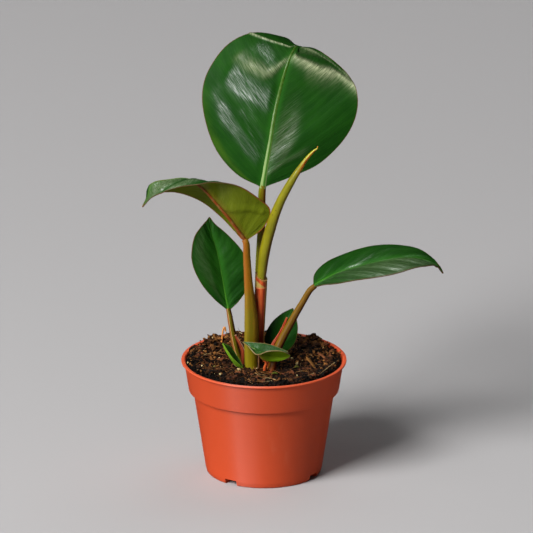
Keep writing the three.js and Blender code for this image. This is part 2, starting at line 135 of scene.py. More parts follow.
# Places along curves
def on_list(values, share):
    """The value at a share of a list of numbers, straight between its entries."""
    place = min(max(share, 0), 1) * (len(values) - 1)
    index = min(int(place), len(values) - 2)
    return values[index] + (values[index + 1] - values[index]) * (place - index)


def on_curve(points, share):
    """The place at a share of the smooth curve through points, with an equal share for each span."""
    place = min(max(share, 0), 1) * (len(points) - 1)
    index = min(int(place), len(points) - 2)
    part = place - index
    b, c = points[index], points[index + 1]
    a = points[index - 1] if index else 2 * b - c
    d = points[index + 2] if index + 2 < len(points) else 2 * c - b
    before, span, after = [max((q - p).length, 1e-6) ** 0.5 for p, q in ((a, b), (b, c), (c, d))]
    leave = ((b - a) / before - (c - a) / (before + span) + (c - b) / span) * span
    arrive = ((c - b) / span - (d - b) / (span + after) + (d - c) / after) * span
    bend = 3 * (c - b) - 2 * leave - arrive
    twist = 2 * (b - c) + leave + arrive
    return b + part * (leave + part * (bend + part * twist))


def heading(points, share):
    """The direction of the smooth curve at a share of it."""
    step = 1e-3
    return (on_curve(points, share + step) - on_curve(points, share - step)).normalized()


def smooth(low, high, value):
    """0 below low, 1 above high and a soft step between them."""
    part = min(max((value - low) / (high - low), 0), 1)
    return part * part * (3 - 2 * part)


def on_steps(places, value):
    """The height at a value, with soft steps between (value, height) places."""
    for (low, start), (high, end) in zip(places, places[1:]):
        if value <= high:
            return start + (end - start) * smooth(low, high, value)
    return places[-1][1]


def hump(value, centre, width):
    """A soft hill, 1 high, round a centre."""
    return math.exp(-(((value - centre) / width) ** 2))


# Hand tools
def nothing_selected():
    """Leaves edit mode and deselects every object."""
    if bpy.context.object and bpy.context.object.mode != "OBJECT":
        bpy.ops.object.mode_set(mode="OBJECT")
    bpy.ops.object.select_all(action="DESELECT")


def named(name):
    """The active object under its own name."""
    piece = bpy.context.active_object
    piece.name = piece.data.name = name
    return piece


def added(add, name, **settings):
    """A new object on its own, under its own name."""
    nothing_selected()
    add(**settings)
    return named(name)


def primitive(add, name, **settings):
    """A new primitive with its place, turn and size in its mesh."""
    piece = added(add, name, **settings)
    bpy.ops.object.transform_apply(location=True, rotation=True, scale=True)
    return piece


def alone(piece):
    """Selects one piece and no other."""
    nothing_selected()
    piece.select_set(True)
    bpy.context.view_layer.objects.active = piece


def modified(piece, kind, **settings):
    """Adds a modifier, sets it and applies it."""
    alone(piece)
    bpy.ops.object.modifier_add(type=kind)
    modifier = piece.modifiers[-1]
    for key, value in settings.items():
        setattr(modifier, key, value)
    bpy.ops.object.modifier_apply(modifier=modifier.name)


def smoothed(piece, degrees=60):
    """Smooth shading, with sharp edges above an angle."""
    alone(piece)
    bpy.ops.object.shade_smooth_by_angle(angle=math.radians(degrees))


def joined(pieces, name):
    """One piece from several, at the origin."""
    alone(pieces[0])
    for piece in pieces:
        piece.select_set(True)
    if len(pieces) > 1:
        bpy.ops.object.join()
    bpy.ops.object.transform_apply(location=True, rotation=True, scale=True)
    return named(name)


def marked(piece, name, values):
    """Keeps three numbers for each vertex, for the piece's materials to read."""
    layer = piece.data.attributes.new(name, "FLOAT_VECTOR", "POINT")
    layer.data.foreach_set("vector", [number for value in values for number in value])


def finished(piece, slot, *nodes, finish=None):
    """Gives a piece its finish, fixes it to the plant's frame and hides the frame's nodes that it stands for."""
    if finish:
        piece.data.materials.append(finish)
    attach(piece, "root")
    if nodes:
        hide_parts(*nodes)


def turned(name, outline, segments):
    """A body of rings from an outline of (radius, height) pairs, closed flat at both ends."""
    radius, height = outline[0]
    piece = primitive(
        bpy.ops.mesh.primitive_circle_add, name,
        vertices=segments, radius=radius * MM, fill_type="NGON", location=(0, 0, height * MM),
    )
    bpy.ops.object.mode_set(mode="EDIT")
    bpy.ops.mesh.select_all(action="SELECT")
    for next_radius, next_height in outline[1:]:
        rise = (0, 0, (next_height - height) * MM)
        bpy.ops.mesh.extrude_region_move(TRANSFORM_OT_translate={"value": rise})
        scale = next_radius / radius
        bpy.ops.transform.resize(value=(scale, scale, 1), center_override=(0, 0, next_height * MM))
        radius, height = next_radius, next_height
    bpy.ops.mesh.select_all(action="SELECT")
    bpy.ops.mesh.normals_make_consistent(inside=False)
    bpy.ops.object.mode_set(mode="OBJECT")
    return piece


def sheet(name, columns, rows, place):
    """A grid laid where place(across, along) says, with across from -1 to 1 and along from 0 to 1."""
    piece = primitive(bpy.ops.mesh.primitive_grid_add, name, x_subdivisions=columns, y_subdivisions=rows, size=2)
    for vertex in piece.data.vertices:
        vertex.co = place(vertex.co.x, (vertex.co.y + 1) / 2) * MM
    return piece


def tube(name, sides, rows, place):
    """A closed tube laid where place(turn, along) says, with turn in radians and along from 0 to 1."""
    piece = primitive(bpy.ops.mesh.primitive_cylinder_add, name, vertices=sides, radius=1, depth=2)
    bpy.ops.object.mode_set(mode="EDIT")
    bpy.ops.mesh.select_mode(type="EDGE")
    bpy.ops.mesh.select_all(action="DESELECT")
    bpy.ops.object.mode_set(mode="OBJECT")
    heights = [vertex.co.z for vertex in piece.data.vertices]
    for edge in piece.data.edges:
        edge.select = abs(heights[edge.vertices[0]] - heights[edge.vertices[1]]) > 1
    bpy.ops.object.mode_set(mode="EDIT")
    bpy.ops.mesh.subdivide(number_cuts=rows - 1)
    bpy.ops.object.mode_set(mode="OBJECT")
    for vertex in piece.data.vertices:
        x, y, z = vertex.co
        vertex.co = place(math.atan2(y, x), (z + 1) / 2) * MM
    return piece


# Shader maths
class Field:
    """A shader value that Python's own arithmetic works on."""

    def __init__(self, shader, socket):
        self.shader = shader
        self.socket = socket

    def maths(self, operation, *values):
        return self.shader.node("ShaderNodeMath", {"operation": operation}, dict(enumerate(values)))

    def __add__(self, other):
        return self.maths("ADD", self, other)

    def __sub__(self, other):
        return self.maths("SUBTRACT", self, other)

    def __rsub__(self, other):
        return self.maths("SUBTRACT", other, self)

    def __mul__(self, other):
        return self.maths("MULTIPLY", self, other)

    def __pow__(self, other):
        return self.maths("POWER", self, other)

    def __abs__(self):
        return self.maths("ABSOLUTE", self)

    __radd__ = __add__
    __rmul__ = __mul__

    def wave(self):
        """The sine of the value."""
        return self.maths("SINE", self)

    def step(self, low, high):
        """0 at low, 1 at high, with a soft step between them."""
        ends = {1: low, 2: high, 3: 0.0, 4: 1.0}
        return self.shader.node("ShaderNodeMapRange", {"interpolation_type": "SMOOTHSTEP"}, {0: self, **ends})


class Shader:
    """One material, the few kinds of node that its finish is made of, and its base colour so far."""

    def __init__(self, name):
        self.material = bpy.data.materials.new(name)
        self.material.use_nodes = True
        self.tree = self.material.node_tree
        self.tree.nodes.clear()
        self.base = None

    def node(self, kind, settings=None, sockets=None, output=0):
        node = self.tree.nodes.new(kind)
        for key, value in (settings or {}).items():
            setattr(node, key, value)
        for key, value in (sockets or {}).items():
            if isinstance(value, Field):
                self.tree.links.new(value.socket, node.inputs[key])
            else:
                node.inputs[key].default_value = value
        return Field(self, node.outputs[output]) if node.outputs else None

    def parts(self, vector):
        """The three numbers of a vector."""
        first = self.node("ShaderNodeSeparateXYZ", sockets={0: vector})
        return [Field(self, output) for output in first.socket.node.outputs]

    def vector(self, x, y, z):
        return self.node("ShaderNodeCombineXYZ", sockets={0: x, 1: y, 2: z})

    def marks(self, name):
        """The three numbers that a piece keeps for each vertex."""
        return self.parts(self.node("ShaderNodeAttribute", {"attribute_name": name}, output=1))

    def place(self):
        """The place on the piece, in metres."""
        return self.node("ShaderNodeTexCoord", output=3)

    def grain(self, vector, scale, detail=2.0, rough=0.5):
        """Noise from 0 to 1."""
        sockets = {"Vector": vector, "Scale": scale, "Detail": detail, "Roughness": rough}
        return self.node("ShaderNodeTexNoise", sockets=sockets)

    def stripes(self, across, along, detail=3.0, rough=0.6):
        """Noise with one scale across and another along Z."""
        x, y, z = self.parts(self.place())
        return self.grain(self.vector(x * across, y * across, z * along), 1.0, detail, rough)

    def cells(self, vector, scale):
        """Distance to the middle of the nearest cell."""
        return self.node("ShaderNodeTexVoronoi", sockets={"Vector": vector, "Scale": scale})

    def mixed(self, share, first, second):
        """A colour between two that are colours or Fields."""
        first, second = [shade if isinstance(shade, Field) else (*linear(shade), 1) for shade in (first, second)]
        return self.node("ShaderNodeMix", {"data_type": "RGBA"}, {0: share, 6: first, 7: second}, output=2)

    def paint(self, share, shade):
        """Lays another colour over the base, all of it where share is 1."""
        self.base = self.mixed(share, self.base, shade)

    def finish(self, roughness, height=None, depth=0.0, gloss=None, **constants):
        """The surface: its base colour, roughness and relief, and constants on the shader's own sockets.
        With gloss, a place is dull where that is 0."""
        sockets = {"Base Color": self.base, "Roughness": roughness}
        sockets.update({key.replace("_", " "): value for key, value in constants.items()})
        if height is not None:
            bump = {"Strength": 1.0, "Distance": depth, "Height": height}
            sockets["Normal"] = self.node("ShaderNodeBump", sockets=bump)
        surface = self.node("ShaderNodeBsdfPrincipled", sockets=sockets)
        if gloss is not None:
            sockets.update({"Roughness": 0.6, "Specular IOR Level": 0.05, "Coat Weight": 0.0})
            dull = self.node("ShaderNodeBsdfPrincipled", sockets=sockets)
            surface = self.node("ShaderNodeMixShader", sockets={0: gloss, 1: dull, 2: surface})
        self.node("ShaderNodeOutputMaterial", sockets={"Surface": surface})
        return self.material


def plastic_finish(plastic):
    """Moulded plastic with a fine grain, faint flow marks, patchy dark brown on the inner wall just above
    the soil, and a painted highlight on the top of the lip.
    """
    shader = Shader("moulded plastic")
    place = shader.place()
    x, y, z = shader.parts(place)
    around = (x * x + y * y) ** 0.5
    clouds = shader.grain(place, 22.0, 3.0)
    flow = shader.stripes(9.0, 160.0, 2.0, 0.5)
    speckle = shader.grain(place, 900.0, 1.0)
    cloudy = clouds.step(0.3, 0.75) * 0.35 + flow.step(0.35, 0.8) * 0.12
    shader.base = shader.mixed(cloudy, plastic, shaded(plastic, 0.86))
    worn = shader.stripes(60.0, 14.0, 4.0, 0.7).step(0.62, 0.8) * 0.16
    shader.paint(worn, "dc8a68")
    # Patchy dark brown on the inner wall just above the soil.
    inner = around.step(0.0569, 0.0564) * z.step(0.079, 0.0815)
    inner_rim_darkening = inner * shader.grain(place, 260.0, 4.0).step(0.45, 0.62) * 0.8
    shader.paint(inner_rim_darkening, "3a2416")
    # Painted highlight: the top of the lip is drawn lighter, where the light falls on it.
    shader.paint(z.step(0.0838, 0.0846) * around.step(0.057, 0.0576) * 0.45, "ec6c48")
    roughness = 0.45 + clouds * 0.08 + worn * 0.3 + inner_rim_darkening * 0.4
    moulding = abs((z * 1900.0).wave()) * z.step(0.0635, 0.0645) * 0.35
    return shader.finish(
        roughness, flow * 0.5 + speckle * 0.28 + moulding, 0.00006,
        Specular_IOR_Level=0.5, Anisotropic=0.9, Anisotropic_Rotation=0.25,
    )


def soil_finish(name, dark, brown, tan, pale):
    """Moist peat, bark and pale grains: each grain keeps its own tone, redness and moss."""
    shader = Shader(name)
    place = shader.place()
    tone, redness, moss = shader.marks("tone")
    fine = shader.grain(place, 1400.0, 3.0, 0.7)
    patches = shader.grain(place, 320.0, 3.0)
    tone = tone + (fine - 0.5) * 0.2 + (patches - 0.5) * 0.2
    shader.base = shader.mixed(tone.step(0.25, 0.65), dark, brown)
    shader.paint(tone.step(0.6, 0.85), tan)
    shader.paint(tone.step(0.86, 1.0), pale)
    shader.paint(redness, "7a452c")
    shader.paint(moss, "4a5214")
    return shader.finish(0.62 + fine * 0.3, fine * 0.6 + patches * 0.6, 0.0004, Specular_IOR_Level=0.12)


def leaf_finish(name, palette):
    """A blade's skin. The leaf marks hold the vein's place, the place across and the place along, the
    spread marks the distances from the midrib and from the margin, and the look marks how much pale
    painted sheen and highlight, how glossy and how yellow the place is."""
    shader = Shader(name)
    vein, across, along = shader.marks("leaf")
    from_rib, from_margin, _ = shader.marks("spread")
    pale, shine, yellow = shader.marks("look")
    spread = abs(across)
    streak = shader.grain(shader.vector(vein * 150.0, spread * 5.0, across * 2.0), 1.0, 3.0, 0.6)
    broad = shader.grain(shader.vector(vein * 26.0, spread * 2.4, across * 2.0), 1.0)
    hair = shader.grain(shader.vector(vein * 290.0, spread * 8.0, across * 2.0), 1.0)
    clouds = shader.grain(shader.place(), 30.0, 3.0)
    vein_line = abs((vein * palette["veins"] * math.pi).wave()).step(0.16, 0.0) * from_rib.step(0.0, 0.004)
    cloudy = clouds.step(0.3, 0.75) * 0.55 + broad.step(0.4, 0.75) * 0.35
    painted_sheen_streaks = streak.step(0.3, 0.7) * 0.5 + hair.step(0.35, 0.65) * 0.45 + 0.15
    shader.base = shader.mixed(cloudy, palette["main"], palette["light"])
    shader.paint(streak.step(0.45, 0.85) * palette["streaks"], palette["streak"])
    shader.paint(vein_line * palette["vein_share"], palette["vein"])
    shader.paint(from_rib.step(0.006, 0.0008) * palette["rib_share"], palette["rib"])
    shader.paint(yellow * clouds.step(0.25, 0.6), palette["yellow"])
    # Painted sheen and highlight: pale greyish streaks where the look marks say pale.
    shader.paint(pale * painted_sheen_streaks, "a9b088")
    shader.paint(along.step(0.955, 0.985), palette["tip"])
    shader.paint(from_margin.step(palette["margin_width"] * 1.5, palette["margin_width"] * 0.5), palette["margin"])
    height = streak * 0.9 + broad * 0.5 - vein_line * 0.2 + clouds * 0.2
    gloss = shine * (hair.step(0.4, 0.68) * 0.85 + 0.15) * (streak.step(0.3, 0.6) * 0.6 + 0.4)
    return shader.finish(
        0.36 + (streak - 0.5) * 0.2, height, palette["relief"] * MM, gloss * palette["gloss"],
        Specular_IOR_Level=1.0, Coat_Weight=1.0, Coat_Roughness=0.32, Coat_IOR=1.7,
    )


def stalk_finish(name, left, middle, right, foot, spots=0.0, glint=0.0, upper=None):
    """A stalk's skin, with light and shade painted in: a lit colour on its left side, which faces the light,
    the middle's colour, a painted shade colour on its right side and a painted highlight line on the left
    as strong as glint; fine stripes along it, a foot of its own tone, and an upper half with its own left
    and middle. The section marks hold the outward direction's X and Y and the place along."""
    shader = Shader(name)
    outward, _, along = shader.marks("section")
    place = shader.place()
    stripes = shader.stripes(900.0, 28.0)
    clouds = shader.grain(place, 90.0, 3.0)
    # Painted light and shade: the left side, which faces the light, takes the left colour, and the front takes the
    # middle one.
    lean = outward + (clouds - 0.5) * 0.5 + (stripes - 0.5) * 0.35
    inward = lean.step(-0.75, -0.2)
    shader.base = shader.mixed(inward, left, middle)
    if upper:
        shader.paint((along + (clouds - 0.5) * 0.2).step(0.4, 0.66), shader.mixed(inward, *upper))
    # Painted shade: the right side, away from the light, takes the right colour.
    shader.paint(lean.step(0.1, 0.75), right)
    shader.paint(along.step(0.3, 0.08) * 0.85, foot)
    shader.paint(stripes.step(0.52, 0.8) * 0.3, [min(1.0, part * 1.9 + 0.02) for part in linear(middle)])
    shader.paint(stripes.step(0.45, 0.2) * 0.35, shaded(right, 0.4))
    # Painted highlight: a thin pale line down the left side, as strong as glint says.
    shader.paint(outward.step(-0.52, -0.44) * outward.step(-0.3, -0.38) * glint, "d8a878")
    dots = shader.cells(place, 620.0).step(0.3, 0.12) * shader.grain(place, 240.0, 1.0).step(0.42, 0.6)
    shader.paint(dots * spots, "7a4a12")
    roughness = 0.42 + (stripes - 0.5) * 0.3
    return shader.finish(roughness, stripes + clouds * 0.4, 0.00018, Specular_IOR_Level=0.12)


def sheath_finish(name, red, light, dark, rim, fold=None):
    """A papery sheath: red with darker and paler stripes along it, painted shade in dark bands on its left and
    right sides, and a dry rim at its mouth. A fold is a pale patch from a low edge up to a slanted one,
    with the slant's slope."""
    shader = Shader(name)
    outward, _, along = shader.marks("section")
    x, _, z = shader.parts(shader.place())
    stripes = shader.stripes(700.0, 22.0, 4.0, 0.65)
    clouds = shader.grain(shader.place(), 120.0, 3.0)
    lean = outward + (stripes - 0.5) * 0.4
    shader.base = shader.mixed(stripes.step(0.35, 0.65), red, light)
    # Painted shade: dark bands on the left and on the right of the front, where the sheath is shaded.
    shader.paint(lean.step(-0.85, -0.7) * lean.step(-0.25, -0.5) * 0.85, dark)
    shader.paint(lean.step(0.25, 0.4) * lean.step(0.72, 0.6) * 0.85, dark)
    shader.paint(lean.step(0.66, 0.8) * 0.8, rim)
    shader.paint(stripes.step(0.62, 0.8) * 0.5, dark)
    if fold:
        low, high, slope = fold
        shader.paint(z.step(low, low + 0.0006) * (z + x * slope).step(high, high - 0.001) * 0.85, "a8944c")
        shader.paint(z.step(low - 0.0008, low - 0.0003) * z.step(low + 0.0006, low), "c87848")
    shader.paint(along.step(0.975, 0.995) * 0.8 + clouds.step(0.62, 0.8) * 0.2, rim)
    return shader.finish(0.5 + (stripes - 0.5) * 0.3, stripes + clouds * 0.3, 0.00025, Specular_IOR_Level=0.2)


def plain_finish(name, main, light, roughness=0.6):
    """A small dry or pale thing: two tones in fine stripes."""
    shader = Shader(name)
    stripes = shader.stripes(500.0, 120.0, 4.0)
    shader.base = shader.mixed(stripes.step(0.35, 0.7), main, light)
    return shader.finish(roughness + (stripes - 0.5) * 0.2, stripes, 0.0002, Specular_IOR_Level=0.4)


# The pot
POT_OUTLINE = [
    (20, 0), (21, 4), (35.8, 4), (36.8, 0), (41, 0), (41.8, 0.9), (42.2, 2.8), (42.3, 3.0), (42.5, 4.2),
    (51.4, 62), (54.6, 62.6), (57.9, 83.8), (60, 83.8), (60, 85), (57.6, 85), (56.7, 83.8), (53.4, 63.8),
    (50.2, 63.2), (40.6, 5.2), (20, 5.2), (19, 1.4),
]
POT_NOTCH = {"radius": 41.8, "depth": 13, "width": 10, "height": 4.2, "angles": (-35, 59, 145, 239)}
POT_DRAIN = {"radius": 3.5, "ring": 27.5, "height": 4.7, "depth": 6, "sides": 28, "count": 8}
# The edges that are rounded and those that stay sharp in the shading turn by more than these angles.
POT_EDGE_ANGLE = 24
POT_SHARP_ANGLE = 32


def cut(piece, cutters):
    """Takes the cutters' shapes out of a piece and removes the cutters."""
    for cutter in cutters:
        modified(piece, "BOOLEAN", operation="DIFFERENCE", solver="EXACT", object=cutter)
        bpy.data.objects.remove(cutter)


class PHILODENDRON_OT_pot(bpy.types.Operator):
    """Turns the nursery pot, with its lip, band, foot notches and drain holes"""

    bl_idname = "philodendron.pot"
    bl_label = "Nursery Pot"
    bl_options = {"REGISTER", "UNDO"}

    def execute(self, context):
        settings = context.scene.philodendron_pot
        pot = turned("nursery_pot", POT_OUTLINE, settings.segments)
        modified(
            pot, "BEVEL", width=settings.edge, segments=2, limit_method="ANGLE",
            angle_limit=math.radians(POT_EDGE_ANGLE),
        )
        notch, drain, cutters = POT_NOTCH, POT_DRAIN, []
        for index, angle in enumerate(notch["angles"]):
            turn = math.radians(angle - 90)
            cutters.append(primitive(
                bpy.ops.mesh.primitive_cube_add, f"notch_{index}", size=MM, rotation=(0, 0, turn),
                location=Vector((math.cos(turn), math.sin(turn), 0)) * notch["radius"] * MM,
                scale=(notch["depth"], notch["width"], 2 * notch["height"]),
            ))
        for index in range(drain["count"]):
            turn = 2 * math.pi * index / drain["count"]
            spot = Vector((math.cos(turn) * drain["ring"], math.sin(turn) * drain["ring"], drain["height"]))
            cutters.append(primitive(
                bpy.ops.mesh.primitive_cylinder_add, f"drain_{index}", vertices=drain["sides"],
                radius=drain["radius"] * MM, depth=drain["depth"] * MM, location=spot * MM,
            ))
        cut(pot, cutters)
        smoothed(pot, POT_SHARP_ANGLE)
        finished(pot, "pot_plastic", "pot", finish=plastic_finish(settings.plastic))
        return {"FINISHED"}


# The soil
SOIL_EDGE = 83.2
SOIL_DISH = 2.6
SOIL_DISH_REACH = 46
SOIL_REACH = 56.3
SOIL_OUTLINE = [(18.6, 1.7), (19.6, 5.5), (40.3, 5.5), (49.9, 63.5), (53.1, 64.1)]
SOIL_SIDES = 120
SOIL_RINGS = 42
BED_TONE = 0.16
# How far from the middle the pieces of each kind of loose soil lie.
CRUMB_REACH = 55.8
CLUMP_REACH = 54.6
GRAIN_REACH = 54.3
CHIP_REACH = 51.5
FIBRE_REACH = 50.5
# Shares of a random draw, with the lowest and highest tone of each.
SOIL_TONES = ((0.55, 0.0, 0.3), (0.85, 0.3, 0.62), (0.99, 0.6, 0.85), (1.0, 0.9, 1.1))
# Clumps: X, Y, height and reach.
SOIL_CLUMPS = (
    (-37, 37, 4.4, 9), (-22, 47, 2.6, 8), (36, 38, 3, 9), (-49, 14, 1.5, 8), (18, 49, 2, 8), (2, 52, 1.5, 7),
)
# Single bits on the soil: their line, width, thickness, tone, redness and moss.
SOIL_BITS = {
    "long_bark_chip": ([(37.8, -15, 82.5), (34, -12, 87), (30.5, -9, 90)], 3.4, 1, 0.78, 0, 0.1),
    "pink_bark_chip": ([(47.2, -2, 83.5), (43, 3, 86), (38.5, 8, 87)], 2.8, 1, 0.72, 0.6, 0),
    "long_fibre": ([(40.7, -32.5, 85.4), (48, -19, 86.6), (54.6, -5, 86.4)], 0.6, 0.5, 0.92, 0, 0),
    "pale_root": ([(-7.9, -16, 85.4), (-6.5, -24, 86.2), (-3.6, -34, 85.2)], 0.4, 0.35, 0.86, 0, 0),
    "standing_hair": ([(-15, 30, 84), (-16.5, 29, 93), (-19.2, 28, 99.5)], 0.35, 0.35, 0.6, 0, 0),
    "white_grain": ([(19.4, -2.7, 86.2), (20.4, -2.7, 86.6), (21.4, -2.7, 86.2)], 1.6, 1.4, 1.2, 0, 0),
    "pale_bead": ([(2.2, -6, 85.6), (3, -6, 86), (3.8, -6, 85.6)], 1.4, 1.2, 1.1, 0, 0),
    "moss_bit": ([(22, -19, 85.4), (23.7, -18.6, 86.2), (25.6, -19, 85.4)], 2.6, 1.6, 0.7, 0, 0.8),
    "front_moss_bit": ([(5.4, -30.6, 84.6), (8, -30, 85.4), (10.4, -30.8, 84.8)], 2.6, 1.6, 0.5, 0, 0.9),
    "left_moss_bit": ([(-36.9, -17.7, 85.2), (-35.8, -17.4, 85.8), (-34.7, -17.8, 85.2)], 1.6, 1.2, 0.9, 0, 0.7),
}


def soil_height(x, y):
    """The height of the soil's top, as in the frame, with a finer crumb."""
    dish = SOIL_DISH * max(0, 1 - (math.hypot(x, y) / SOIL_DISH_REACH) ** 2)
    lumps = math.sin(0.31 * x + 1.3 * math.sin(0.17 * y)) * math.cos(0.27 * y - 0.4 * math.sin(0.21 * x))
    crumbs = math.sin(0.83 * x - 0.5 * y) * math.sin(0.71 * y + 0.6 * x)
    return SOIL_EDGE - dish + 0.8 * (0.6 * lumps + 0.5 * crumbs)


def soil_heap(x, y):
    """How far the loose soil is heaped above its level, at the edge and on the clumps at the back."""
    fuller = 0.7 + 0.8 * smooth(-30, 5, y) * smooth(45, 20, y) + 0.3 * smooth(-20, 30, y)
    heap = 1.9 * smooth(44, 54, math.hypot(x, y)) * fuller
    return heap + sum(high * hump(math.hypot(x - left, y - back), 0, wide) for left, back, high, wide in SOIL_CLUMPS)


def above_soil(x, y, rise):
    """A place over the soil, as high above it as rise says."""
    return Vector((x, y, soil_height(x, y) + rise))


def crumb(name, rng, detail, rough):
    """One irregular crumb, 1 mm across."""
    piece = primitive(bpy.ops.mesh.primitive_ico_sphere_add, name, subdivisions=detail, radius=0.5 * MM)
    offset = Vector([rng.uniform(0, 50) for _ in range(3)])
    for vertex in piece.data.vertices:
        swell = noise.noise(vertex.co / MM * 1.9 + offset) * rough
        vertex.co *= 1 + swell + rng.uniform(-0.08, 0.08)
    return piece


def bark_chip(name, rng):
    """One split bark chip, 1 mm long."""
    piece = primitive(bpy.ops.mesh.primitive_cube_add, name, size=MM, scale=(1, 0.42, 0.2))
    bpy.ops.object.mode_set(mode="EDIT")
    bpy.ops.mesh.select_all(action="SELECT")
    bpy.ops.mesh.subdivide(number_cuts=1)
    bpy.ops.object.mode_set(mode="OBJECT")
    for vertex in piece.data.vertices:
        vertex.co.y *= 1 - 0.55 * abs(vertex.co.x / MM) * rng.uniform(0.3, 1.6)
        vertex.co += Vector([rng.uniform(-0.05, 0.05) * MM for _ in range(3)])
    return piece


def loose_fibre(name, rng):
    """One bent fibre, 1 mm long."""
    bend = [Vector((part, rng.uniform(-0.14, 0.14), rng.uniform(-0.05, 0.1))) for part in (-0.5, -0.2, 0.15, 0.5)]

    def place(turn, along):
        centre = on_curve(bend, along)
        thick = 0.028 * (1 - 0.5 * along)
        return centre + Vector((0, math.cos(turn) * thick, math.sin(turn) * thick))

    return tube(name, 4, 6, place)


def single_bit(name, rng, line, width, thickness, tone, redness, moss):
    """One bit of its own on the soil, flat and ragged along its line."""
    line = [Vector(point) for point in line]
    flat = (line[-1] - line[0]).cross(Vector((0, 0, 1))).normalized()
    ragged = [rng.uniform(0.75, 1.1) for _ in range(9)]

    def place(turn, along):
        swell = max(0.15, 1 - (2 * along - 1) ** 4) * on_list(ragged, along)
        up = flat.cross(line[0] - line[-1]).normalized()
        return on_curve(line, along) + (flat * math.cos(turn) * width + up * math.sin(turn) * thickness) * swell / 2

    bit = tube(name, 8, 12, place)
    marked(bit, "tone", [(tone, redness, moss)] * len(bit.data.vertices))
    return bit


def strewn(name, patterns, rng, number, spot):
    """Many copies of a few patterns, each turned, sized and toned as spot(rng) says, in one piece."""
    copies = []
    for _ in range(number):
        pattern = rng.choice(patterns)
        copy = bpy.data.objects.new(name, pattern.data.copy())
        bpy.context.collection.objects.link(copy)
        place, turn, scale, tone, redness = spot(rng)
        copy.matrix_world = Matrix.LocRotScale(place * MM, turn, Vector(scale))
        marked(copy, "tone", [(tone, redness, 0)] * len(copy.data.vertices))
        copies.append(copy)
    for pattern in patterns:
        bpy.data.objects.remove(pattern)
    return joined(copies, name)


def soil_spot(rng, reach):
    """A random place on the soil, no further than reach from its middle."""
    while True:
        x, y = rng.uniform(-reach, reach), rng.uniform(-reach, reach)
        if math.hypot(x, y) < reach:
            return x, y


def any_turn(rng, tilt=math.pi):
    """A random rotation, tilted from level by no more than tilt."""
    over_x, over_y, round_z = rng.uniform(-tilt, tilt), rng.uniform(-tilt, tilt), rng.uniform(0, 2 * math.pi)
    leaning = Matrix.Rotation(over_x, 3, "X") @ Matrix.Rotation(over_y, 3, "Y")
    return Matrix.Rotation(round_z, 3, "Z").to_quaternion() @ leaning.to_quaternion()


def soil_tone(rng, back):
    """A grain's tone from 0, moist peat, to 1, pale grit: mostly dark, drawn lighter further back as painted
    light against the shade there, and darker at the front as painted shade.
    """
    draw = rng.random()
    if draw <= 0.985:
        # Painted light and shade: grains further back are drawn lighter, and those at the front darker.
        draw = min(0.97, draw + 0.6 * smooth(5, 40, back) - 0.15 * smooth(0, -40, back))
    low, high = next(tones for share, *tones in SOIL_TONES if draw < share)
    return rng.uniform(low, high)


# Each spot is a place, a rotation, a scale, a tone and a redness.
def crumb_spot(rng):
    """A coarse crumb's spot, on and in the soil."""
    x, y = soil_spot(rng, CRUMB_REACH)
    size = rng.uniform(1.3, 3.7) * (1 if rng.random() < 0.9 else 1.4)
    size *= 1 - 0.4 * smooth(53, 55, math.hypot(x, y))
    rise = rng.uniform(-1.1, 0.9 + soil_heap(x, y)) + 1.6 * noise.noise(Vector((x, y, 3)) * 0.2)
    scale = [size * rng.uniform(low, high) for low, high in ((0.7, 1.25), (0.6, 1.05), (0.5, 0.85))]
    return above_soil(x, y, rise), any_turn(rng, 0.9), scale, soil_tone(rng, y), 0.0


def clump_spot(rng):
    """A crumb's spot in one of the clumps at the back."""
    left, back, _, wide = rng.choice(SOIL_CLUMPS)
    turn, reach = rng.uniform(0, 2 * math.pi), wide * 0.8 * rng.random() ** 0.7
    x, y = left + reach * math.cos(turn), back + reach * math.sin(turn)
    shrink = min(1, CLUMP_REACH / math.hypot(x, y))
    x, y = x * shrink, y * shrink
    scale = [rng.uniform(2, 4.4) for _ in range(3)]
    rise = soil_heap(x, y) * rng.uniform(-0.1, 0.85)
    return above_soil(x, y, rise), any_turn(rng), scale, soil_tone(rng, y), 0.0


def grain_spot(rng):
    """A fine grain's spot, on the crumbs."""
    x, y = soil_spot(rng, GRAIN_REACH)
    size = rng.uniform(0.6, 1.6)
    scale = [size * rng.uniform(0.7, 1.5) for _ in range(3)]
    rise = rng.uniform(0.0, 1.6) + 0.7 * soil_heap(x, y)
    return above_soil(x, y, rise), any_turn(rng), scale, soil_tone(rng, y), 0.0


def chip_spot(rng):
    """A bark chip's spot, nearly flat on the crumbs and more often on the right."""
    x, y = soil_spot(rng, CHIP_REACH)
    x += 0.08 * (CHIP_REACH - abs(x))
    size = rng.uniform(2.6, 6.4)
    scale = [size, size * rng.uniform(0.6, 1.2), size * rng.uniform(0.6, 1.3)]
    rise = rng.uniform(0.6, 1.7) + 0.7 * soil_heap(x, y)
    redness = rng.uniform(0.0, 0.8) if rng.random() < 0.4 else 0.0
    tone = rng.uniform(0.2, 0.75)
    return above_soil(x, y, rise), any_turn(rng, 0.5), scale, tone, redness


def fibre_spot(rng):
    """A fibre's spot, over the crumbs."""
    x, y = soil_spot(rng, FIBRE_REACH)
    size = rng.uniform(4, 11)
    rise = rng.uniform(1.0, 2.2) + 0.7 * soil_heap(x, y)
    return above_soil(x, y, rise), any_turn(rng, 0.3), [size, size * 0.8, size * 0.8], rng.uniform(0.3, 0.95), 0.1


